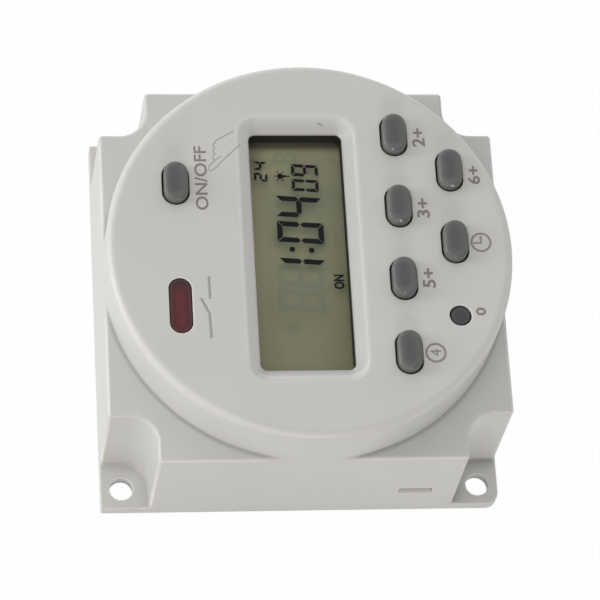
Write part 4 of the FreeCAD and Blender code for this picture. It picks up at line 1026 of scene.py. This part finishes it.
# %% Seven keys
SHADE_OVAL_X, SHADE_OVAL_Y, SHADE_OVAL_WIDE, SHADE_OVAL_LONG = 0.2, -0.1, 2.0, 3.4
SHADE_OVAL_DEEP, GLINT_DEEP, GLINT_FROM, STRONG = 0.3, 0.4, -2.75, 1.15
# These attributes place the painted dish shade and the painted glints.
painted_dish_shade = key.data.attributes.new("painted_dish_shade", "FLOAT", "POINT")
painted_glints = key.data.attributes.new("painted_glints", "FLOAT", "POINT")
top = max(vertex.co.z for vertex in key.data.vertices)
for vertex in key.data.vertices:
    x, y, below_top = vertex.co.x / MM, vertex.co.y / MM, top - vertex.co.z
    oval = 1.0 - ((x - SHADE_OVAL_X) / SHADE_OVAL_WIDE) ** 2 - ((y - SHADE_OVAL_Y) / SHADE_OVAL_LONG) ** 2
    if below_top < SHADE_OVAL_DEEP * MM:
        painted_dish_shade.data[vertex.index].value = min(1.0, STRONG * max(0.0, oval))
    if y < GLINT_FROM and below_top < GLINT_DEEP * MM:
        painted_glints.data[vertex.index].value = 1.0
KEYS = ("minute", "hour", "day", "program", "second", "clock", "manual")
for name in KEYS:
    node = "key_" + name
    low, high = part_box(node)
    cap = key.copy()
    cap.data = key.data.copy()
    cap.data.transform(Matrix.Translation(((low.x + high.x) / 2, (low.y + high.y) / 2, low.z)))
    bpy.context.scene.collection.objects.link(cap)
    settle([cap], "cap_" + name, "key_plastic", body=node)
    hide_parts(node)
bpy.data.objects.remove(key)
print("long keys made:", len(KEYS))

# %% [markdown]
# ## Numbers over the blades
# The installer needs to know which blade is which, so the mould has plain numbers
# raised about a seventh of a millimetre on the wall over the bay, one above each
# blade. The wall leans in by its draft, so the numbers follow it to their height.

# %% Raised numbers
NUMBER_Z, NUMBER_PROUD, NUMBER_THICK, NUMBER_TALL = 13.0 * MM, 0.14 * MM, 0.2 * MM, 2.4
case_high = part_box("front_case")[1]
wall_x = case_high.x - tan(radians(WALL_DRAFT)) * NUMBER_Z
numbers = []
for sign in "12345":
    low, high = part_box("wire_terminal_" + sign)
    figure = word(sign, (0, 0), NUMBER_TALL, 0, NUMBER_THICK, weight=0.01)
    there = Matrix.Translation((wall_x + NUMBER_PROUD - NUMBER_THICK, (low.y + high.y) / 2, NUMBER_Z))
    figure.data.transform(there @ Matrix.Rotation(pi / 2, 4, "Y"))
    numbers.append(figure)
settle(numbers, "terminal_numbers", "case_plastic")
print("numbers over the bay:", len(numbers))

# %% [markdown]
# ## Printing on the face
# The legends are pad printed in grey-brown ink, two hundredths of a millimetre
# thick. They are plain: ON/OFF beside the manual key, a number at each setting key,
# a clock, an open switch for the lamp and a pointing hand. Each is written here as
# its text, its middle, its height and width in mm, and how much bolder it is made.

# %% Letters and numbers
FACE = case_high.z
INK = 0.00002
ink("print_ink", (127, 120, 113), drift=12)
ink("faint_ink", (154, 152, 146), drift=8)
ink("ring_ink", (139, 134, 127))
ink("line_ink", (167, 164, 159), drift=6)
legends = {
    "mark_manual": ("ON/OFF", (-15.63, 11.11), 1.85, 10.3, 0.012),
    "mark_minute": ("2+", (16.99, 17.69), 1.9, 3.05, 0.022),
    "mark_hour": ("3+", (16.92, 6.15), 1.9, 3.1, 0.022),
    "mark_day": ("5+", (17.00, -5.10), 1.9, 3.1, 0.022),
    "mark_second": ("6+", (24.86, 11.51), 1.85, 3.0, 0.022),
    "mark_reset": ("0", (24.27, -10.47), 1.5, 1.25, 0.03),
}
for name, (text, middle, height, width, weight) in legends.items():
    settle([word(text, middle, height, FACE, INK, width, weight)], name, "print_ink")
print("legends:", sorted(legends))

# %% [markdown]
# ## Lines and rings of ink
# A printed line is drawn as a wire, one corner after another, then given a round
# thickness and pressed flat to the ink's height. A ring is a torus pressed
# flat in the same way. The clock is a ring with two hands, and the program key's
# mark is a ring round a 4.

# %% Drawing with a wire
def drawn(points, width):
    """A line of that width over the face through the points, in mm, pressed to the ink's height."""
    let_go()
    bpy.ops.mesh.primitive_plane_add(size=MM)
    made = bpy.context.object
    edit(made, "SELECT", "VERT")
    bpy.ops.mesh.merge(type="CENTER")
    bpy.ops.mesh.select_all(action="SELECT")
    bpy.ops.transform.translate(value=Vector((*points[0], 0)) * MM)
    for before, after in zip(points, points[1:]):
        step = (Vector((*after, 0)) - Vector((*before, 0))) * MM
        bpy.ops.mesh.extrude_vertices_move(TRANSFORM_OT_translate={"value": step})
    bpy.ops.object.mode_set(mode="OBJECT")
    bpy.ops.object.convert(target="CURVE")
    line = bpy.context.object.data
    line.bevel_depth = width * MM / 2
    line.bevel_resolution = 1
    line.use_fill_caps = True
    bpy.ops.object.convert(target="MESH")
    made = bpy.context.object
    press = Matrix.Diagonal((1, 1, INK / (width * MM / 2), 1))
    made.data.transform(Matrix.Translation((0, 0, FACE)) @ press)
    return made


def ring(middle, radius, width):
    let_go()
    thick = {"minor_radius": width * MM / 2, "minor_segments": 8}
    bpy.ops.mesh.primitive_torus_add(major_radius=radius * MM, major_segments=48, **thick)
    made = bpy.context.object
    edit(made)
    bpy.ops.transform.resize(value=(1, 1, INK / (width * MM / 2)))
    bpy.ops.object.mode_set(mode="OBJECT")
    made.data.transform(Matrix.Translation((middle[0] * MM, middle[1] * MM, FACE)))
    return made


RING_LINE, SWITCH_LINE, HAND_LINE = 0.35, 0.4, 0.24
CLOCK_X, CLOCK_Y, HANDS_LOW = 25.13, 0.56, 0.1
FOUR = (17.18, -16.89)
hands = [(CLOCK_X - 1.1, CLOCK_Y - HANDS_LOW), (CLOCK_X, CLOCK_Y - HANDS_LOW), (CLOCK_X, CLOCK_Y + 1.0)]
clock = [ring((CLOCK_X, CLOCK_Y), 1.4, RING_LINE), drawn(hands, RING_LINE)]
settle(clock, "mark_clock", "ring_ink")
program = [ring(FOUR, 1.38, RING_LINE), word("4", FOUR, 1.6, FACE, INK)]
settle(program, "mark_program", "ring_ink")
print("ringed marks ready, their lines", RING_LINE, "mm wide")

# %% [markdown]
# ## The switch and the hand
# The lamp's mark is an open switch: a short contact, and a lead whose lever is swung
# off it. The manual key's mark is a pointing hand in thin outline, drawn in two
# lines. Only the corners of the lines are written.

# %% Two drawn marks
CONTACT = ((-15.18, -4.65), (-15.15, -8.18))
LEVER = ((-16.47, -8.04), (-15.33, -10.51), (-15.22, -14.28))
HAND_BACK = (
    (-10.47, 18.76), (-13.23, 17.17), (-13.26, 16.87), (-13.59, 16.64), (-13.62, 16.30), (-13.30, 16.05),
    (-13.62, 15.84), (-13.66, 15.39), (-13.34, 15.08), (-13.67, 14.87), (-13.71, 14.31), (-13.47, 13.99),
)
HAND_FINGER = (
    (-12.52, 14.62), (-13.47, 13.99), (-14.29, 13.14), (-14.47, 12.64), (-14.24, 12.23),
    (-13.77, 12.40), (-13.24, 12.94), (-12.56, 13.70), (-11.01, 15.23), (-9.66, 16.54),
)
settle([drawn(CONTACT, SWITCH_LINE), drawn(LEVER, SWITCH_LINE)], "mark_switch", "faint_ink")
settle([drawn(HAND_BACK, HAND_LINE), drawn(HAND_FINGER, HAND_LINE)], "mark_hand", "line_ink")
print("corners of the hand:", len(HAND_BACK) + len(HAND_FINGER))

# %% [markdown]
# ## The ground
# The photograph's ground is pure white. To light a floor that white would take more
# light than the object can bear. So the camera sees, and the object mirrors, a floor
# that gives off its own white, with a trace of lit paper in it. Every other ray
# meets plain paper, which sends soft light back up to the object.

# %% White ground
FLOOR_SIZE, FLOOR_Z, SELF_LIT = 6.0, -0.0002, 0.98
let_go()
bpy.ops.mesh.primitive_plane_add(size=FLOOR_SIZE, location=(0, 0, FLOOR_Z))
floor = bpy.context.object
floor.name = "floor"
ground = Finish("floor_white")
paper = ground.node("ShaderNodeBsdfDiffuse", sockets={"Color": colour(226, 225, 222)})
white = ground.node("ShaderNodeEmission", sockets={"Color": (1.0, 1.0, 1.0, 1.0), "Strength": 1.0})
share = ground.ray("Camera").most(ground.ray("Glossy")).most(ground.ray("Transmission")) * SELF_LIT
mixed = ground.node("ShaderNodeMixShader", sockets={0: share, 1: paper, 2: white})
ground.tree.links.new(mixed.socket, ground.tree.nodes["Material Output"].inputs["Surface"])
floor.data.materials.append(ground.material)
floor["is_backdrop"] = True
print("floor size in m:", round(floor.dimensions.x, 1))

# %% [markdown]
# ## The light
# The photograph looks as if it was made in a light tent: white all round, brighter
# on the far side, with soft light from the left, from the front and from above. So
# there are three square lamps, and a world that is white to the camera and a graded
# soft grey to everything else. They stand at a level at which a colour renders about
# as it is written.

# %% Soft lamps and the tent
WORLD_LEVEL, WORLD_LEAN, LAMP_SIZE = 0.581, 0.555, 0.35
LAMPS = {
    "left_lamp": ((-0.759, 0.080, 0.240), 2.88, (1.0, 1.0, 1.0)),
    "front_lamp": ((0.0, -0.763, 0.241), 2.36, (1.0, 0.975, 0.96)),
    "top_lamp": ((-0.241, -0.241, 0.724), 0.66, (1.0, 1.0, 1.0)),
}
for name, (place, power, tint) in LAMPS.items():
    let_go()
    bpy.ops.object.light_add(type="AREA", location=place)
    lamp = bpy.context.object
    lamp.name = name
    lamp.data.size = LAMP_SIZE
    lamp.data.energy = power
    lamp.data.color = tint
    lamp.rotation_euler = (-Vector(place)).to_track_quat("-Z", "Y").to_euler()
tent = Finish("tent", "worlds", "Background")
towards = tent.node("ShaderNodeTexCoord", output="Generated")
cloth = tent.node("ShaderNodeSeparateXYZ", sockets={0: towards}, output="Y") * WORLD_LEAN + WORLD_LEVEL
direct = tent.ray("Camera").most(tent.ray("Transmission"))
level = tent.node("ShaderNodeMix", {}, {"Factor": direct, "A": cloth, "B": 1.0})
bpy.context.scene.world = tent.surface(Color=(1.0, 1.0, 1.0, 1.0), Strength=level)
bpy.context.scene.view_settings.view_transform = "Standard"
print("lamps:", list(LAMPS))

low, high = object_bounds()
print("dressed size in mm:", [round((b - a) / MM, 2) for a, b in zip(low, high)])
